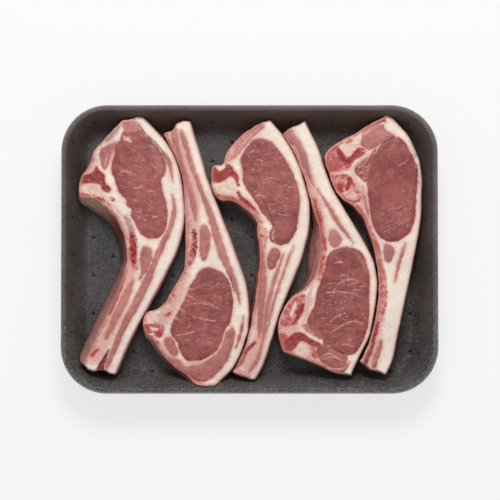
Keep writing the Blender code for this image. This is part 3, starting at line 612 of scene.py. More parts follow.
chopFive = {
    "thickness": 16.8,
    "stations": [
        (83.6, 82.2, 89.2, 81.8, 0, 0.5), (72.5, 77, 95.7, 75.4, 0, 0.5), (67.5, 73, 98.5, 72, 0, 0.5),
        (55.5, 67, 102.7, 64.5, 0, 0.5), (47.3, 59.8, 105.6, 56.5, 0, 0.5), (47.5, 55, 106.6, 52.3, 0, 0.5),
        (51, 43, 107.6, 43.5, 0, 0.5), (57, 32.4, 107.2, 35.2, 0, 0.4), (65.8, 26.5, 107, 26, 0.5, 0.3),
        (72.5, 15.7, 106.2, 15, 0.5, 0.2), (78.3, -3, 102.8, -3.5, 0, 0.2), (80.6, -26, 98, -26.5, 0, 0.2),
        (76.3, -52, 92.2, -53, 0, 0.1), (71.2, -65, 89, -68.5, 0, 0.05),
        (68.4, -69.6, 84.8, -78.2, 0, 0.05),
    ],
    "headEnd": [(85.6, 83.2)],
    "tailEnd": [(72.4, -72), (75.4, -74.8), (80, -75.6)],
    "muscle": [
        (0.0, [(90, 69.5), (93, 70.5), (96, 68.5), (98.5, 65), (100.5, 61), (102.5, 57), (104, 52.5),
               (104.7, 47),
               (104.8, 41), (104.2, 32), (103.5, 23), (103, 18), (101.5, 13), (98.5, 9), (95, 6.5), (91, 4.8),
               (87, 4.6), (83.5, 6), (80, 9), (77.5, 13), (76, 17.5), (75.3, 22), (74, 32), (73.5, 37),
               (73, 44), (74, 50), (77, 57), (80, 63), (83, 66.6), (86.5, 68.8)]),
        (0.35, [(73, 42), (69, 44.5), (66.5, 47), (65.5, 50), (67, 53.5), (70, 56), (74, 58.5), (77, 62),
                (79.5, 64), (78, 56), (75, 48)]),
        (0.7, [(69.5, 75), (73, 76.4), (77, 77.5), (81, 78.5), (84, 78), (84.5, 75.6), (88, 73), (91, 70.4),
               (86, 67.8), (81, 65), (77, 62.4), (74, 62), (70, 65), (68.5, 69), (68.6, 72.5)]),
        (0.15, [(73, 77.6, 1.2), (78, 79.6, 2.4), (84, 81, 1.6)]),
        (0.9, [(70.4, 39, 1.2), (71.8, 33, 2.4), (73.2, 26, 2), (74.4, 20, 1)]),
        (0.75, [(85, 3.5), (88, 3), (90, 0), (90, -4), (88, -7.5), (86, -8.3), (84, -6), (83.7, -1),
               (84, 2.5)]),
        (0.8, [(97, 4, 0.8), (96, 0, 1.8), (94.3, -5, 2), (92.5, -11, 1.8), (90.5, -20.5, 0.8)]),
        (0.55, [(82, -57.4, 2), (80.4, -62.5, 3.4), (78.4, -68.5, 3.6), (77.2, -72.6, 3)]),
        (0.0, [(77.2, -58.5, 2), (74.8, -64, 2.8), (72.6, -69, 2.8), (71.8, -71.4, 2)]),
    ],
    "bone": [
        (0.95, [(47.8, 49.4), (47.8, 58), (51, 63), (55, 65), (57.5, 63.5), (60, 60), (63.5, 60), (68, 63.5),
                (72.6, 63), (73, 60.6), (70, 58), (66.5, 55.8), (63.6, 52.4), (61.6, 49.6), (55, 48.6)]),
        (0.3, [(55.5, 66), (61, 69.4), (66, 72.6), (69.4, 74.4), (70, 69), (68, 65.2), (63.6, 64),
               (57, 63.6)]),
        (0.0, [(56.4, 63.6), (59, 66), (62.6, 64.6), (64.4, 60.6), (62.5, 57.6), (59.4, 59)]),
        (0.7, [(61.4, 67, 2.6), (63, 68, 3.4)]),
        (0.0, [(65, 68.6), (66.8, 72), (69.6, 73.2), (69.8, 69), (68.2, 66), (66, 66)]),
        (0.8, [(50.5, 45.8), (56, 46.8), (62, 46.6), (66, 40.6), (70, 33.4), (68, 29.4), (62, 29.8),
               (57.4, 33.4),
               (53.2, 39)]),
        (0.95, [(60, 31.4, 1.6), (64.6, 30, 3), (67.6, 30, 1.6)]),
        (0.45, [(57.4, 37), (60.4, 39.4), (64.4, 37.4), (68, 32.6), (66, 30.6), (60.4, 31.6)]),
        (0.75, [(67, 27, 3), (70, 21, 4.6), (73, 15, 4.6), (76, 8, 4.6), (78.5, 2, 4.4), (80.5, -5, 4.2),
                (81.5, -12, 4.4), (83, -18, 4.6), (83.4, -30, 4.8), (82, -38, 4.6), (79.5, -48, 4.4),
                (78, -53, 2.4)]),
    ],
    "marrow": [
        (0.4, [(55, 62), (56, 57.5), (58.4, 54), (62, 52.6), (64.6, 55), (68, 58.5), (71.5, 60.4), (71, 62.6),
               (67, 62.2), (64, 58.4), (61, 56.6), (58.6, 59), (57, 62)]),
        (0.8, [(72.6, 76.6, 1), (78.6, 78.8, 2), (84.4, 80.2, 1.4)]),
        (0.55, [(62, 44.4, 2.6), (62.2, 41, 3.4), (60.6, 37.4, 2)]),
        (0.7, [(56.4, 40.4, 2), (57.4, 36.4, 3)]),
        (0.2, [(80, -46, 1.6), (78, -52, 3), (76.4, -57, 2.4)]),
    ],
    "line": [
        (0, [(48.6, 47.2, 1.4), (55, 47.7, 1.8), (60, 49.5, 1.8), (64, 50.6, 1.8), (68.5, 54.6, 1.6),
               (73, 58.6, 1.4),
             (75, 61.6, 1)]),
        (0, [(63.6, 49, 1.6), (67, 42, 2.2), (71, 36.6, 2), (73.2, 32, 1.4), (73.8, 27, 1)]),
        (0, [(66, 46.5, 0.5), (69, 47.4, 0.8), (72, 50.6, 0.5)]),
        (0, [(68, 42.4, 0.4), (71, 44, 0.7), (74, 47.6, 0.4)]),
        (0, [(67.4, 50.6, 0.4), (70.6, 52.4, 0.7), (74, 56.4, 0.4)]),
        (0, [(75, 20, 1), (78, 10.4, 1.2), (81.2, 3, 0.8)]),
        (0, [(92, 52, 0.4), (97, 54, 0.6)]),
        (0, [(69.6, 61.4, 1), (73.2, 61.4, 1.8), (74.4, 58.6, 1.6), (71.6, 56.4, 1)]),
        (0, [(77.4, 62.4, 0.5), (80, 63.6, 0.9), (81.4, 65, 0.4)]),
        (0, [(77, 60, 0.5), (79.4, 60.6, 0.8)]),
        (0, [(70, 72, 1.4), (73, 73, 1.8), (75, 74.6, 0.8)]),
    ],
    "dark": [
        (0, [(101.4, 66.6, 0.8), (102.2, 64.6, 1.3), (103, 62.4, 0.8)]),
        (0, [(103.8, 60.4, 0.8), (104.4, 58, 1)]),
        (0, [(104.4, 52.6, 0.6), (104.8, 49.6, 1.2), (104.4, 46, 0.8)]),
        (0, [(82.6, 66.2, 0.5), (87, 68.4, 0.8), (91, 70.6, 0.5)]),
        (0, [(77.4, -50, 0.8), (76.6, -55, 1), (78.4, -53, 0.6)]),
    ],
    "film": [
        (0.0, [(100.6, 67.6, 1), (101.8, 64, 1.8), (103.8, 59, 1.2)]),
        (0.0, [(106, 48, 1), (106.4, 44, 1.6), (106.2, 40.5, 1)]),
    ],
    "marbled": [(0.42, [(77, 26), (90, 34), (103, 40), (101, 14), (90, 6), (80, 10)]),
                (0.65, [(66, 50), (70, 56), (77, 54), (76, 40), (72, 38)])],
    "blush": [
        (0, [(74, 74, 6), (60, 66, 10), (54, 45, 10), (68, 36, 8), (76, 12, 5), (82, -25, 6),
               (78, -55, 7), (74, -70, 7)]),
    ],
}


tray = {
    "lipWidth": 3.2,
    "cornerRadius": 29.0,
    "foamThickness": 3.6,
    "wallSlope": 2.5,
    "lipBend": 1.6,
    "floorBend": 10.0,
    "dimpleColumns": (1.5, 12.45, 9),  # middle one's x, spacing, how many each side
    "dimpleRows": (80.3, 12.0, 15),  # first one's y, spacing, how many
    "dimpleRadius": 0.9,
    "dimpleDepth": 1.3,
    "lineSpacing": 2.4,
}


def smoothMax(a, b, reach):
    # the larger of two heights, with the corner rounded off where they differ by less than reach
    share = np.clip(0.5 + 0.5 * (a - b) / reach, 0, 1)
    return b + (a - b) * share + reach * share * (1 - share)


low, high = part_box("tray")
trayLength, trayWidth, trayHeight = ((b - a) / mm for a, b in zip(low, high))


def trayInset(x, y):
    # distance inward from the tray's outer edge
    beyondX = np.abs(x) - (trayLength / 2 - tray["cornerRadius"])
    beyondY = np.abs(y) - (trayWidth / 2 - tray["cornerRadius"])
    inCorner = np.hypot(np.maximum(beyondX, 0), np.maximum(beyondY, 0))
    return tray["cornerRadius"] - inCorner - np.minimum(np.maximum(beyondX, beyondY), 0)


def trayHeightAt(inset):
    # lip, straight wall and floor, joined by soft bends
    wall = trayHeight - tray["wallSlope"] * (inset - tray["lipWidth"])
    withFloor = smoothMax(wall, tray["foamThickness"], tray["floorBend"])
    return -smoothMax(-withFloor, -trayHeight, tray["lipBend"])


def gridLines(half, special, spacing, edgeRun):
    # positions across the tray: fine beside each dimple row and over the wall, coarser between
    lines = [half * np.array([-1, 1])]
    for middle in special:
        lines.append(middle + tray["dimpleRadius"] * np.array([-1.25, -0.85, -0.45, 0, 0.45, 0.85, 1.25]))
    edge = np.array([0.25, 0.6, 1.2, 2.0, 2.8, 3.4, 4.0, 5.0, *np.arange(6, edgeRun, 1.2)])
    lines += [half - edge, edge - half]
    lines = np.unique(np.round(np.concatenate(lines), 3))
    lines = lines[np.abs(lines) <= half]
    kept = [lines[0]]
    for line in lines[1:]:
        if line - kept[-1] > 0.2:
            gap = line - kept[-1]
            kept += list(kept[-1] + gap * np.arange(1, math.ceil(gap / spacing)) / math.ceil(gap / spacing))
            kept.append(line)
    kept[-1] = half
    return np.array(kept)


def roundCorners(x, y):
    # squeezes the corner squares of a rectangle onto quarter discs: a sqrt(1 - b^2 / 2), b sqrt(1 - a^2 / 2)
    radius = tray["cornerRadius"]
    a = np.maximum(np.abs(x) - (trayLength / 2 - radius), 0) / radius
    b = np.maximum(np.abs(y) - (trayWidth / 2 - radius), 0) / radius
    newX = x - np.sign(x) * radius * a * (1 - np.sqrt(1 - b**2 / 2))
    newY = y - np.sign(y) * radius * b * (1 - np.sqrt(1 - a**2 / 2))
    return newX, newY


def makeTray(material):
    # two height fields over one rounded grid, the inner skin and the outer skin, joined round the edge
    middle, step, each = tray["dimpleColumns"]
    columns = middle + step * np.arange(-each, each + 1)
    first, down, count = tray["dimpleRows"]
    rows = first - down * np.arange(count)
    lineX = gridLines(trayLength / 2, columns, tray["lineSpacing"], 18)
    lineY = gridLines(trayWidth / 2, rows, tray["lineSpacing"], 18)
    gridX, gridY = np.meshgrid(lineX, lineY, indexing="ij")
    column = np.round((gridX - middle) / step)
    row = np.round((first - gridY) / down)
    fromDimple = np.hypot(gridX - middle - column * step, gridY - first + row * down)
    present = ((column + each + row) % 2 == 1) & (np.abs(column) <= each) & (row >= 0) & (row < count)
    pit = np.where(present, 1 - softStep(fromDimple, 0.15, tray["dimpleRadius"] * 1.25), 0)
    x, y = roundCorners(gridX, gridY)
    inset = trayInset(x, y)
    z = trayHeightAt(inset)
    inner = softStep(inset, 1.5, 5)
    ripple = inner * (0.10 * waves(x, y, 22, 3) + 0.035 * waves(x, y, 5, 4))
    lipRipple = (1 - inner) * 0.12 * (waves(x, y, 30, 5) - 2)
    pit = pit * softStep(inset, 3.2, 4.2)
    top = np.stack([x, y, z + ripple + lipRipple - tray["dimpleDepth"] * pit], axis=-1)
    # the underside lies one foam thickness off the inner skin, measured square to the wall
    slope = np.gradient(trayHeightAt(np.arange(0, 30, 0.05)), 0.05)
    steep = np.interp(inset, np.arange(0, 30, 0.05), slope)
    under = z - tray["foamThickness"] * np.minimum(np.sqrt(1 + steep**2), 2.4) * softStep(inset, -2.5, 1.2)
    under = np.maximum(under, 0) + 0.0
    bottom = np.stack([x, y, under], axis=-1)
    index = np.arange(x.size).reshape(x.shape)
    rim = np.concatenate([index[:-1, 0], index[-1, :-1], index[:0:-1, -1], index[0, :0:-1]])
    side = np.column_stack([rim, np.roll(rim, -1), np.roll(rim, -1) + x.size, rim + x.size])
    faces = np.vstack([gridQuads(index)[:, ::-1], gridQuads(index) + x.size, side])
    points = np.vstack([top.reshape(-1, 3), bottom.reshape(-1, 3)])
    zero = np.zeros(x.size)
    # painted glints: a zone over the lower wall and floor and by the lower corners, where the pale flecks are
    # thickened
    nearCorner = softStep(np.abs(x), 85, 105) * softStep(-y, 10, 60)
    glintZone = (1 - softStep(inset, 4, 22)) * np.maximum(softStep(-y, 58, 80), nearCorner)
    # painted reflection: a brown tint from the red meat on the walls, most on the top wall, less on the side
    # walls, none on the lower wall
    meatReflection = (1 - softStep(inset, 9, 18)) * (0.6 * softStep(y, -75, -30) + 0.6 * softStep(y, 60, 78))
    fields = {
        "pit": np.concatenate([pit.ravel(), zero]),
        # the lip's outer edge, where a painted highlight line goes
        "lip": np.concatenate([1 - softStep(inset.ravel(), 0.5, 1.5), zero]),
        "meatReflection": np.concatenate([meatReflection.ravel(), zero]),
        "bright": np.concatenate([glintZone.ravel(), zero]),
    }
    return makeMesh("foamTray", points, faces.tolist(), fields, material)


build = {
    "along": 400,
    "across": 104,
    "edgeRadius": 1.1,
    "edgeRings": 5,
    "sideRings": 14,
    "cornerSoftness": 3.0,
    "clearance": 0.3,
    "thinnest": 2.6,
    "crown": 0.5,
    "endReach": 8,
    "tailTone": 0.42,
}


def loopSides(loop):
    # bone side, tail end, fat side and head end of a closed loop
    closed = np.concatenate([loop, loop[:1]])
    corners = np.cumsum([0, build["along"], build["across"], build["along"], build["across"]])
    boneSide, tail, fatSide, head = (closed[a : b + 1] for a, b in zip(corners, corners[1:]))
    return boneSide, tail, fatSide[::-1], head[::-1]


def blurLoop(values, softness):
    # Gaussian blur of a table of values round a closed loop, softness in points
    reach = int(4 * softness)
    kernel = np.exp(-0.5 * (np.arange(-reach, reach + 1) / softness) ** 2)
    kernel /= kernel.sum()
    return sum(weight * np.roll(values, k - reach, axis=0) for k, weight in enumerate(kernel))


def chopLoop(chop, seed):
    # closed loop round the chop's widest part, with its outward normals and what varies round it
    cuts = spline(chop["stations"], 60)
    stepBone = np.hypot(*np.diff(cuts[:, :2], axis=0).T)
    stepFat = np.hypot(*np.diff(cuts[:, 2:4], axis=0).T)
    cuts = evenly(cuts, build["along"] + 1, np.append(0, np.cumsum(stepBone + stepFat)))
    bone, fat = cuts[:, :2], cuts[:, 2:4]
    head = evenly(np.array([bone[0], *chop["headEnd"], fat[0]]), build["across"] + 1)
    tail = evenly(np.array([bone[-1], *chop["tailEnd"], fat[-1]]), build["across"] + 1)
    loop = np.vstack([bone[:-1], tail[:-1], fat[:0:-1], head[:0:-1]])
    onBone = np.zeros(len(loop))
    onBone[: build["along"] + 1] = 1
    flare = np.zeros(len(loop))
    flare[: build["along"] + 1] = cuts[:, 4]
    wallTone = np.full(len(loop), build["tailTone"])
    wallTone[: build["along"] + 1] = cuts[:, 5]
    wall = onBone.copy()
    wall[build["along"] : build["along"] + build["across"]] = 1
    loop = blurLoop(loop, build["cornerSoftness"])
    ahead, behind = np.roll(loop, -2, axis=0), np.roll(loop, 2, axis=0)
    tangent = ahead - behind
    tangent /= np.maximum(np.hypot(*tangent.T), 1e-9)[:, None]
    turn = np.sign(np.sum(loop[:, 0] * ahead[:, 1] - ahead[:, 0] * loop[:, 1]))
    normal = blurLoop(turn * np.column_stack([tangent[:, 1], -tangent[:, 0]]), 3)
    normal /= np.hypot(*normal.T)[:, None]
    reach = np.cumsum(np.hypot(*(loop - np.roll(loop, 1, axis=0)).T))
    wobble = 0.06 * waves(loop[:, 0], loop[:, 1], 11, seed)
    wobble += onBone * 0.12 * waves(loop[:, 0], loop[:, 1], 8, seed)
    wobble += onBone * 0.04 * waves(loop[:, 0], loop[:, 1], 3, seed + 1)
    loop = loop + wobble[:, None] * normal
    around = {"flare": flare, "onBone": onBone, "wall": wall, "wallTone": wallTone, "reach": reach}
    return loop, normal, {label: blurLoop(values, 6) for label, values in around.items()}


def faceGrid(loop):
    # grid inside a loop: straight from bone side to fat side, bent near the ends to meet them
    boneSide, tail, fatSide, head = loopSides(loop)
    u = np.linspace(0, 1, build["along"] + 1)[:, None, None]
    v = np.linspace(0, 1, build["across"] + 1)[None, :, None]
    ruled = (1 - v) * boneSide[:, None] + v * fatSide[:, None]
    reach = build["endReach"]
    return ruled + (1 - u) ** reach * (head - ruled[0]) + u**reach * (tail - ruled[-1])


def standing(plan, share, thickness):
    # height at a share of the thickness, over the tray's floor or up its wall
    lift = trayHeightAt(trayInset(plan[..., 0], plan[..., 1])) - tray["foamThickness"]
    base = tray["foamThickness"] + build["clearance"] + lift
    return base + share * np.maximum(thickness - lift, build["thinnest"])


def cutFaceRelief(fields, x, y, seed):
    # how far the cut face stands proud: muscle swells, bone is flat, marrow and seams sink a little
    relief = 0.34 * waves(x, y, 30, seed + 2) + 0.08 * waves(x, y, 7, seed + 3)
    relief = relief + 0.03 * waves(x, y, 2.4, seed + 4)
    relief += 0.4 * softStep(fields["muscle"], -0.4, 3.0) - 0.12 * np.exp(-((fields["muscle"] / 0.5) ** 2))
    relief -= 0.3 * softStep(fields["marrow"], -0.3, 1.2) * (1 + 0.25 * waves(x, y, 2.5, seed + 5))
    relief += softStep(fields["bone"], -0.4, 0.6) * (0.12 + 0.1 * waves(x, y, 4, seed + 7))
    relief += 0.06 * softStep(fields["line"], -0.5, 0.3)
    relief -= 0.14 * softStep(fields["dark"], -0.5, 0.4)
    return relief


def makeChop(name, chop, seed, material):
    # cut face as a height field over the outline, a rounded edge, rings down the side
    # walls, and a foot that follows the tray beneath it
    loop, normal, around = chopLoop(chop, seed)
    flare, onBone = around["flare"], around["onBone"]
    thickness = chop["thickness"]
    rings, depths = [], []
    radius = build["edgeRadius"]
    for angle in np.linspace(0, math.pi / 2, build["edgeRings"]):
        rings.append((np.full(len(loop), radius * (math.sin(angle) - 1)), radius * (1 - math.cos(angle))))
    for t in np.linspace(0, 1, build["sideRings"])[1:]:
        belly = 0.5 * math.sin(math.pi * t) * (1 - 0.8 * onBone)
        rings.append((flare * t**0.7 + belly, radius + t * (thickness - 2 * radius)))
    rings.append((flare - radius, thickness))
    topPlan = faceGrid(loop + rings[0][0][:, None] * normal)
    layers = {}
    flat = np.vstack([topPlan.reshape(-1, 2), loop])
    for label in ("muscle", "bone", "marrow", "line", "dark", "film", "marbled", "blush"):
        layers[label] = layerField(flat, chop[label])
    count = topPlan.shape[0] * topPlan.shape[1]
    topFields = {label: field[:count] for label, (field, tone) in layers.items()}
    x, y = topPlan[..., 0].ravel(), topPlan[..., 1].ravel()
    relief = cutFaceRelief(topFields, x, y, seed).reshape(topPlan.shape[:2])
    across = np.linspace(-1, 1, build["across"] + 1)
    topZ = standing(topPlan, 1.0, thickness) + build["crown"] * (1 - across**2) + relief
    index = np.arange(count).reshape(topPlan.shape[:2])
    rim = np.concatenate([index[:-1, 0], index[-1, :-1], index[:0:-1, -1], index[0, :0:-1]])
    rimRelief = relief.ravel()[rim]
    points = [np.column_stack([x, y, topZ.ravel()])]
    depth = [np.zeros(count)]
    source = [np.arange(count)]
    numbers = [rim]
    for sideways, drop in rings[1:]:
        fade = max(1 - drop / 4, 0)
        level = np.full(len(loop), drop)
        ridges = 0.06 * softStep(drop, 0.5, 3) * waves(around["reach"] / 8, level, 4, seed + 6)
        plan = loop + (sideways + ridges * (0.4 + 1.2 * onBone))[:, None] * normal
        z = standing(plan, 1 - drop / thickness, thickness) + fade * rimRelief
        numbers.append(len(rim) * len(numbers) - len(rim) + count + np.arange(len(rim)))
        points.append(np.column_stack([plan, z]))
        depth.append(np.full(len(rim), drop))
        source.append(count + np.arange(len(rim)))
    faces = gridQuads(index)[:, ::-1].tolist()
    for upper, lower in zip(numbers, numbers[1:]):
        faces += np.column_stack([upper, np.roll(upper, -1), np.roll(lower, -1), lower]).tolist()
    last = numbers[-1]
    along, acrossCount = build["along"], build["across"]
    boneFoot, tailFoot = last[: along + 1], last[along : along + acrossCount + 1]
    fatFoot = last[along + acrossCount : 2 * along + acrossCount + 1][::-1]
    headFoot = np.append(last[2 * along + acrossCount :], last[0])[::-1]
    for i in range(1, along - 1):
        faces.append([boneFoot[i], boneFoot[i + 1], fatFoot[i + 1], fatFoot[i]])
    faces.append([*headFoot[::-1].tolist(), boneFoot[1], fatFoot[1]])
    faces.append([boneFoot[-2], *tailFoot.tolist(), fatFoot[-2]])
    source = np.concatenate(source)
    attributes = {"depth": np.concatenate(depth)}
    for label in ("wall", "wallTone", "reach"):
        attributes[label] = np.concatenate([np.zeros(count), *([around[label]] * (len(rings) - 1))])
    # distances in from the bone side and the fat side, read across each row of the grid
    width = np.hypot(*(topPlan[:, -1] - topPlan[:, 0]).T)[:, None]
    fromBone = np.linspace(0, 1, build["across"] + 1) * width
    for label, gap in (("fromBone", fromBone), ("fromFat", width - fromBone)):
        edge = np.minimum(gap, fieldReach).ravel()
        attributes[label] = np.concatenate([edge, np.zeros(len(rim) * (len(rings) - 1))])
    for label, (field, tone) in layers.items():
        attributes[label] = field[source]
        if label in ("muscle", "bone", "marrow", "film", "marbled"):
            attributes[label + "Tone"] = tone[source]
    faces = [list(map(int, face)) for face in faces]
    made = makeMesh(name, np.vstack(points), faces, attributes, material)
    print(name, len(made.data.vertices), "points")
    return made


meat = {
    "eye": srgb(160, 84, 81),
    "eyeDark": srgb(132, 62, 61),
    "strip": srgb(206, 140, 132),
    "fat": srgb(244, 228, 212),
    "fatPink": srgb(226, 172, 161),
    "fatLilacHighlight": srgb(226, 214, 214),
    "blush": srgb(218, 160, 150),
    "bone": srgb(232, 204, 186),
    "bonePink": srgb(218, 160, 148),
    "boneRed": srgb(184, 84, 78),
    "marrowDark": srgb(130, 40, 44),
    "marrowBright": srgb(186, 64, 62),
    "line": srgb(226, 176, 166),
    "dark": srgb(98, 30, 34),
    "filmGrey": srgb(146, 118, 124),
    "filmPink": srgb(196, 132, 126),
    "wallDark": srgb(120, 60, 58),
    "wallMauve": srgb(184, 130, 122),
    "wallCream": srgb(212, 176, 154),
    "fatEdgePinkShade": srgb(216, 170, 157),
}


def meatMaterial(name, grain, shade, seed):
    # layers from the bottom up: fat, muscle and its marbling, bone, marrow, seams, films, edges, side walls
    g = Graph(name)
    here = g.place()
    offset = (seed * 37.0, seed * 11.0, 0.0)  # so that no two chops share a pattern
    shifted = g.node("ShaderNodeVectorMath", {"operation": "ADD"}, {0: here, 1: offset})
    broad = g.noise(shifted, 14, 2)
    patchy = g.noise(shifted, 4.0, 3)
    medium = g.noise(shifted, 2.2, 3, 0.6)
    fine = g.noise(shifted, 1.0, 3, 0.65)
    tiny = g.noise(shifted, 0.45, 2, 0.6)
    ragged = (patchy - 0.5) * 1.6 + (fine - 0.5) * 1.6
    # fat, pink beside the muscle and in blotches, with broad lilac-white patches of painted highlight
    fat = g.mix(g.step(broad, 0.5, 0.75, 0, 0.6), meat["fat"], meat["fatLilacHighlight"])
    nearRed = g.attribute("muscle").most(g.attribute("marrow"))
    stain = g.step(nearRed + (patchy - 0.5) * 3, -2.4, 0.5, 0, 0.85) + g.step(medium, 0.54, 0.78, 0, 0.3)
    fat = g.mix(stain.least(1.0), fat, meat["fatPink"])
    blush = g.step(g.attribute("blush") + (medium - 0.5) * 5, -2.5, 2.5, 0.0, 0.85)
    fat = g.mix(blush, fat, meat["blush"])
    # muscle: darker clouds, pale bundles and thin broken streaks of marbling
    tone = g.attribute("muscleTone")
    muscle = g.mix(tone + (medium - 0.5) * 0.5, meat["eye"], meat["strip"])
    clouds = g.step(broad + (patchy - 0.5) * 0.8 + (shade - 0.5) * 0.3, 0.34, 0.66) * (1 - tone * 0.8)
    muscle = g.mix(clouds * 0.8, muscle, meat["eyeDark"])
    muscle = g.mix(g.step(fine * 0.7 + medium * 0.3, 0.5, 0.75, 0.0, 0.55), muscle, meat["strip"])
    muscle = g.mix(g.step(fine * 0.6 + tiny * 0.4, 0.47, 0.25, 0.0, 0.5), muscle, meat["eyeDark"])
    sway = g.node("ShaderNodeTexNoise", None, {"Vector": shifted, "Scale": 1 / 9.0}, "Color")
    bent = g.mix(2.2, g.place((0.13, 1.0, 0.5), grain), sway, "ADD")
    streaks = g.noise(bent, 1.9, 3, 0.5)
    thin = g.step(abs(streaks - 0.5), 0.028, 0.004)
    where = g.step(g.attribute("marbled") + (patchy - 0.5) * 9, -1.0, 3.0)
    where = where * g.step(fine * 0.5 + medium * 0.5, 0.42, 0.56)
    muscle = g.mix(thin * where * g.attribute("marbledTone"), muscle, meat["line"])
    muscleGap = g.attribute("muscle") + ragged
    colour = g.mix(g.step(muscleGap, -0.5, 0.55), fat, muscle)
    # bone: cream, pink and red patches
    boneGap = g.attribute("bone") + ragged
    boneTone = g.attribute("boneTone") + (patchy - 0.5) * 1.3 + (fine - 0.5) * 1.1
    bone = g.mix(g.step(boneTone, 0.0, 0.55), meat["bone"], meat["bonePink"])
    bone = g.mix(g.step(boneTone, 0.5, 1.0), bone, meat["boneRed"])
    colour = g.mix(g.step(boneGap, -0.7, 0.7), colour, bone)
    # marrow
    marrowGap = g.attribute("marrow") + ragged
    marrowTone = g.attribute("marrowTone") + (fine - 0.5) * 1.2 + (medium - 0.5) * 1.0
    marrow = g.mix(g.step(marrowTone, 0.0, 1.0), meat["marrowDark"], meat["marrowBright"])
    marrow = g.mix(g.step(fine * 0.5 + tiny * 0.5, 0.54, 0.72, 0.0, 0.55), marrow, meat["bonePink"])
    colour = g.mix(g.step(marrowGap, -0.8, 0.7), colour, marrow)
    # pale and dark seams, both broken up
    breaks = g.step(fine * 0.6 + medium * 0.4, 0.40, 0.58)
    line = g.step(g.attribute("line") + (fine - 0.5) * 1.6, -0.5, 0.5)
    lineShare = breaks * 0.55 + 0.2 + (g.attribute("line") - 0.35).most(0.0) * 0.8
    colour = g.mix(line * lineShare.least(1.0), colour, meat["line"])
    film = g.mix(g.attribute("filmTone"), meat["filmGrey"], meat["filmPink"])
    filmShare = g.step(g.attribute("film") + ragged * 1.3, -1.4, 1.6) * (0.8 - g.attribute("filmTone") * 0.4)
    colour = g.mix(filmShare, colour, film)
    dark = g.step(g.attribute("dark") + (fine - 0.5) * 1.4, -0.4, 0.4)
    colour = g.mix(dark * 0.92, colour, meat["dark"])
    # edges of the cut face: red along the bone side, and along the fat side a darker pink band, partly the
    # fat's own pinker rim and partly painted shade of the rounded edge
    redEdge = g.step(g.attribute("fromBone") + (medium - 0.5) * 5 + (fine - 0.5) * 1.5, 1.8, -0.4, 0.0, 0.7)
    colour = g.mix(redEdge, colour, meat["boneRed"])
    pinkEdgeShade = g.step(g.attribute("fromFat") + (medium - 0.5) * 1.5, 1.1, 0.0, 0.0, 0.5)
    colour = g.mix(pinkEdgeShade, colour, meat["fatEdgePinkShade"])
    # side walls: streaks run along them, darker towards the foot
    depth = g.attribute("depth")
    wallSockets = {0: g.attribute("reach") * 0.06, 1: depth * 0.6, 2: float(seed)}
    alongWall = g.node("ShaderNodeCombineXYZ", None, wallSockets)
    sideNoise = g.noise(alongWall, 1.0, 2, 0.5)
    sideTone = g.attribute("wallTone") + (sideNoise - 0.5) * 1.3 + (medium - 0.5) * 0.7
    side = g.mix(g.step(sideTone, 0.05, 0.5), meat["wallDark"], meat["wallMauve"])
    side = g.mix(g.step(sideTone, 0.55, 1.0), side, meat["wallCream"])
    side = g.mix(g.step(depth, 9.0, 15.0, 0.0, 0.45), side, meat["wallDark"])
    onWall = g.attribute("wall")
    wall = g.step(depth + ragged * 0.6, 0.9, 2.0)
    colour = g.mix(wall * onWall, colour, side)
    # the fat-side walls take the same darker pink: partly the fat's own pink, partly painted shade
    colour = g.mix(g.step(depth, 0.3, 3.0) * (1 - onWall) * 0.75, colour, meat["fatEdgePinkShade"])
    wet = g.step(fine * 0.6 + patchy * 0.4, 0.35, 0.7)
    height = patchy * 0.5 + fine * 0.4 + tiny * 0.15
    return g.finish(
        Base_Color=colour,
        Roughness=0.5 - wet * 0.14,
        Normal=g.bump(height, 0.5),
        Coat_Weight=0.05,
        Coat_Roughness=0.25,
        Specular_IOR_Level=0.3,
        Subsurface_Weight=0.06,
        Subsurface_Radius=(0.004, 0.0015, 0.001),
        Subsurface_Scale=0.6,
    )


foam = {
    "dark": srgb(44, 39, 37),
    "mid": srgb(78, 75, 74),
    "meatReflection": srgb(100, 85, 80),
    "fleckAndGlint": srgb(158, 156, 154),
    "pitShade": srgb(16, 14, 13),
}


def foamMaterial():
    # beads of foam: a cell pattern, with soft clouds and scattered pale flecks, partly the foam's own specks
    # and partly painted glints; painted reflection browns the walls, a painted highlight lines the lip and
    # painted shade fills the dimples
    g = Graph("blackFoam")
    here = g.place()
    beads = g.cells(here, 1.3)
    cloud = g.noise(here, 22, 3)
    grain = g.noise(here, 0.8, 3, 0.7)
    coarse = g.noise(here, 1.6, 4, 0.75)
    base = g.mix(g.step(cloud * 0.6 + grain * 0.3 + coarse * 0.3, 0.46, 0.76), foam["dark"], foam["mid"])
    # painted reflection of the red meat, browning the walls
    base = g.mix(g.attribute("meatReflection") * 0.6, base, foam["meatReflection"])
    # painted glints: more and paler flecks in that zone
    bright = g.attribute("bright")
    fleckAndGlint = g.step(coarse * 0.6 + grain * 0.4 + bright * 0.04, 0.47, 0.64)
    base = g.mix(fleckAndGlint * (0.14 + bright * 0.24), base, foam["fleckAndGlint"])
    # painted highlight: a pale broken line along the lip's rounded outer edge
    base = g.mix(g.attribute("lip") * g.step(grain, 0.3, 0.6, 0.2, 0.55), base, foam["fleckAndGlint"])
    # painted shade: the dimples darkened nearly to black, as shade falls in them
    base = g.mix(g.attribute("pit"), base, foam["pitShade"])
    height = (1 - beads) * 0.5 + grain * 0.8 + coarse * 0.5
    return g.finish(
        Base_Color=base,
        Roughness=0.38 + grain * 0.12,
        Normal=g.bump(height, 0.42),
        Specular_IOR_Level=0.5,
    )


foamTray = makeTray(foamMaterial())
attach(foamTray, "root")
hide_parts("tray")
print("tray made", len(foamTray.data.vertices), "points")

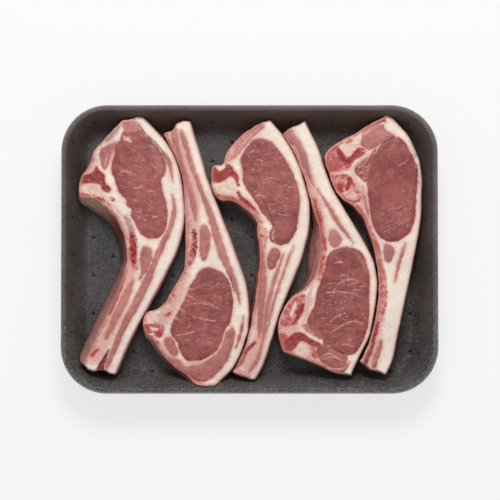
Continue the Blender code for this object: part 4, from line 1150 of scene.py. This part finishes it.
chops = {
    "chop_1": (chopOne, 20, 0.4, "lambChop1"),
    "chop_2": (chopTwo, -10, 0.6, "lambChop2"),
    "chop_3": (chopThree, 15, 0.45, "lambChop3"),
    "chop_4": (chopFour, -4, 0.65, "lambChop4"),
    "chop_5": (chopFive, -25, 0.65, "lambChop5"),
}
for number, (node, (chop, grain, shade, name)) in enumerate(chops.items(), start=1):
    made = makeChop(name, chop, 100 * number, meatMaterial("meat" + str(number), grain, shade, number))
    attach(made, "root")
    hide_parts(node)


stage = {
    "floorSize": 4.0,
    "floorColour": srgb(240, 240, 240),
    "glow": 0.7,  # how much of the floor's white is its own rather than the lamps'
    "aim": (0.0004, -0.0006, 0.027),
    "distance": 1.5,
    "tilt": 2.5,
    "seen": 0.310,  # width of the view at the rim
    "sensor": 36.0,
    "skyLight": 0.42,
    "skySeen": 0.95,
}


def makeFloor():
    # pale floor that takes the shadow, partly its own white where the camera or a gloss looks at it
    half = stage["floorSize"] / 2
    mesh = bpy.data.meshes.new("floor")
    corners = [(-half, -half, 0), (half, -half, 0), (half, half, 0), (-half, half, 0)]
    mesh.from_pydata(corners, [], [(0, 1, 2, 3)])
    floor = bpy.data.objects.new("floor", mesh)
    bpy.context.scene.collection.objects.link(floor)
    g = Graph("paleFloor")
    g.finish(Base_Color=stage["floorColour"], Roughness=0.8)
    seen = g.node("ShaderNodeLightPath", output="Is Camera Ray")
    glossy = g.node("ShaderNodeLightPath", output="Is Glossy Ray")
    glow = g.node("ShaderNodeEmission", None, {"Color": (1, 1, 1, 1), "Strength": 1.0}, "Emission")
    lit = Wire(g, g.shader.outputs["BSDF"])
    share = seen.most(glossy) * stage["glow"]
    both = g.node("ShaderNodeMixShader", None, {0: share, 1: lit, 2: glow}, "Shader")
    g.give(g.ending.inputs["Surface"], both)
    mesh.materials.append(g.material)


lamps = {
    "key": {"place": (0.04, 0.66, 0.90), "size": 0.40, "power": 7.4},
    "fill": {"place": (-0.6, -0.2, 1.2), "size": 0.9, "power": 1.2},
}


def makeLamp(name, values):
    # round soft lamp turned toward the origin
    data = bpy.data.lights.new(name, "AREA")
    data.shape = "DISK"
    data.size = values["size"]
    data.energy = values["power"]
    lamp = bpy.data.objects.new(name, data)
    bpy.context.scene.collection.objects.link(lamp)
    lamp.location = values["place"]
    lamp.rotation_euler = Vector(values["place"]).to_track_quat("Z", "Y").to_euler()


def makeCamera():
    # looks down at the tray, tilted a little from straight above
    data = bpy.data.cameras.new("camera")
    camera = bpy.data.objects.new("camera", data)
    bpy.context.scene.collection.objects.link(camera)
    tilt = math.radians(stage["tilt"])
    aim = stage["aim"]
    reach = stage["distance"]
    camera.location = (aim[0], aim[1] - reach * math.sin(tilt), aim[2] + reach * math.cos(tilt))
    camera.rotation_euler = (tilt, 0, 0)
    data.sensor_width = stage["sensor"]
    data.lens = stage["sensor"] * reach / stage["seen"]
    data.clip_start = 0.01
    bpy.context.scene.camera = camera


makeFloor()
makeCamera()
for lamp in lamps.items():
    makeLamp(*lamp)
world = bpy.data.worlds.new("studio")
bpy.context.scene.world = world
world.use_nodes = True
world.node_tree.nodes["Background"].inputs["Color"].default_value = (1, 1, 1, 1)
# the sky lights the meat softly, and is nearly white where it is looked at above the floor's far edge
skyPath = world.node_tree.nodes.new("ShaderNodeLightPath")
skyRange = world.node_tree.nodes.new("ShaderNodeMapRange")
skyRange.inputs["To Min"].default_value = stage["skyLight"]
skyRange.inputs["To Max"].default_value = stage["skySeen"]
world.node_tree.links.new(skyPath.outputs["Is Camera Ray"], skyRange.inputs["Value"])
world.node_tree.links.new(skyRange.outputs["Result"], world.node_tree.nodes["Background"].inputs["Strength"])
bpy.context.scene.view_settings.view_transform = "Standard"

print("scene ready")
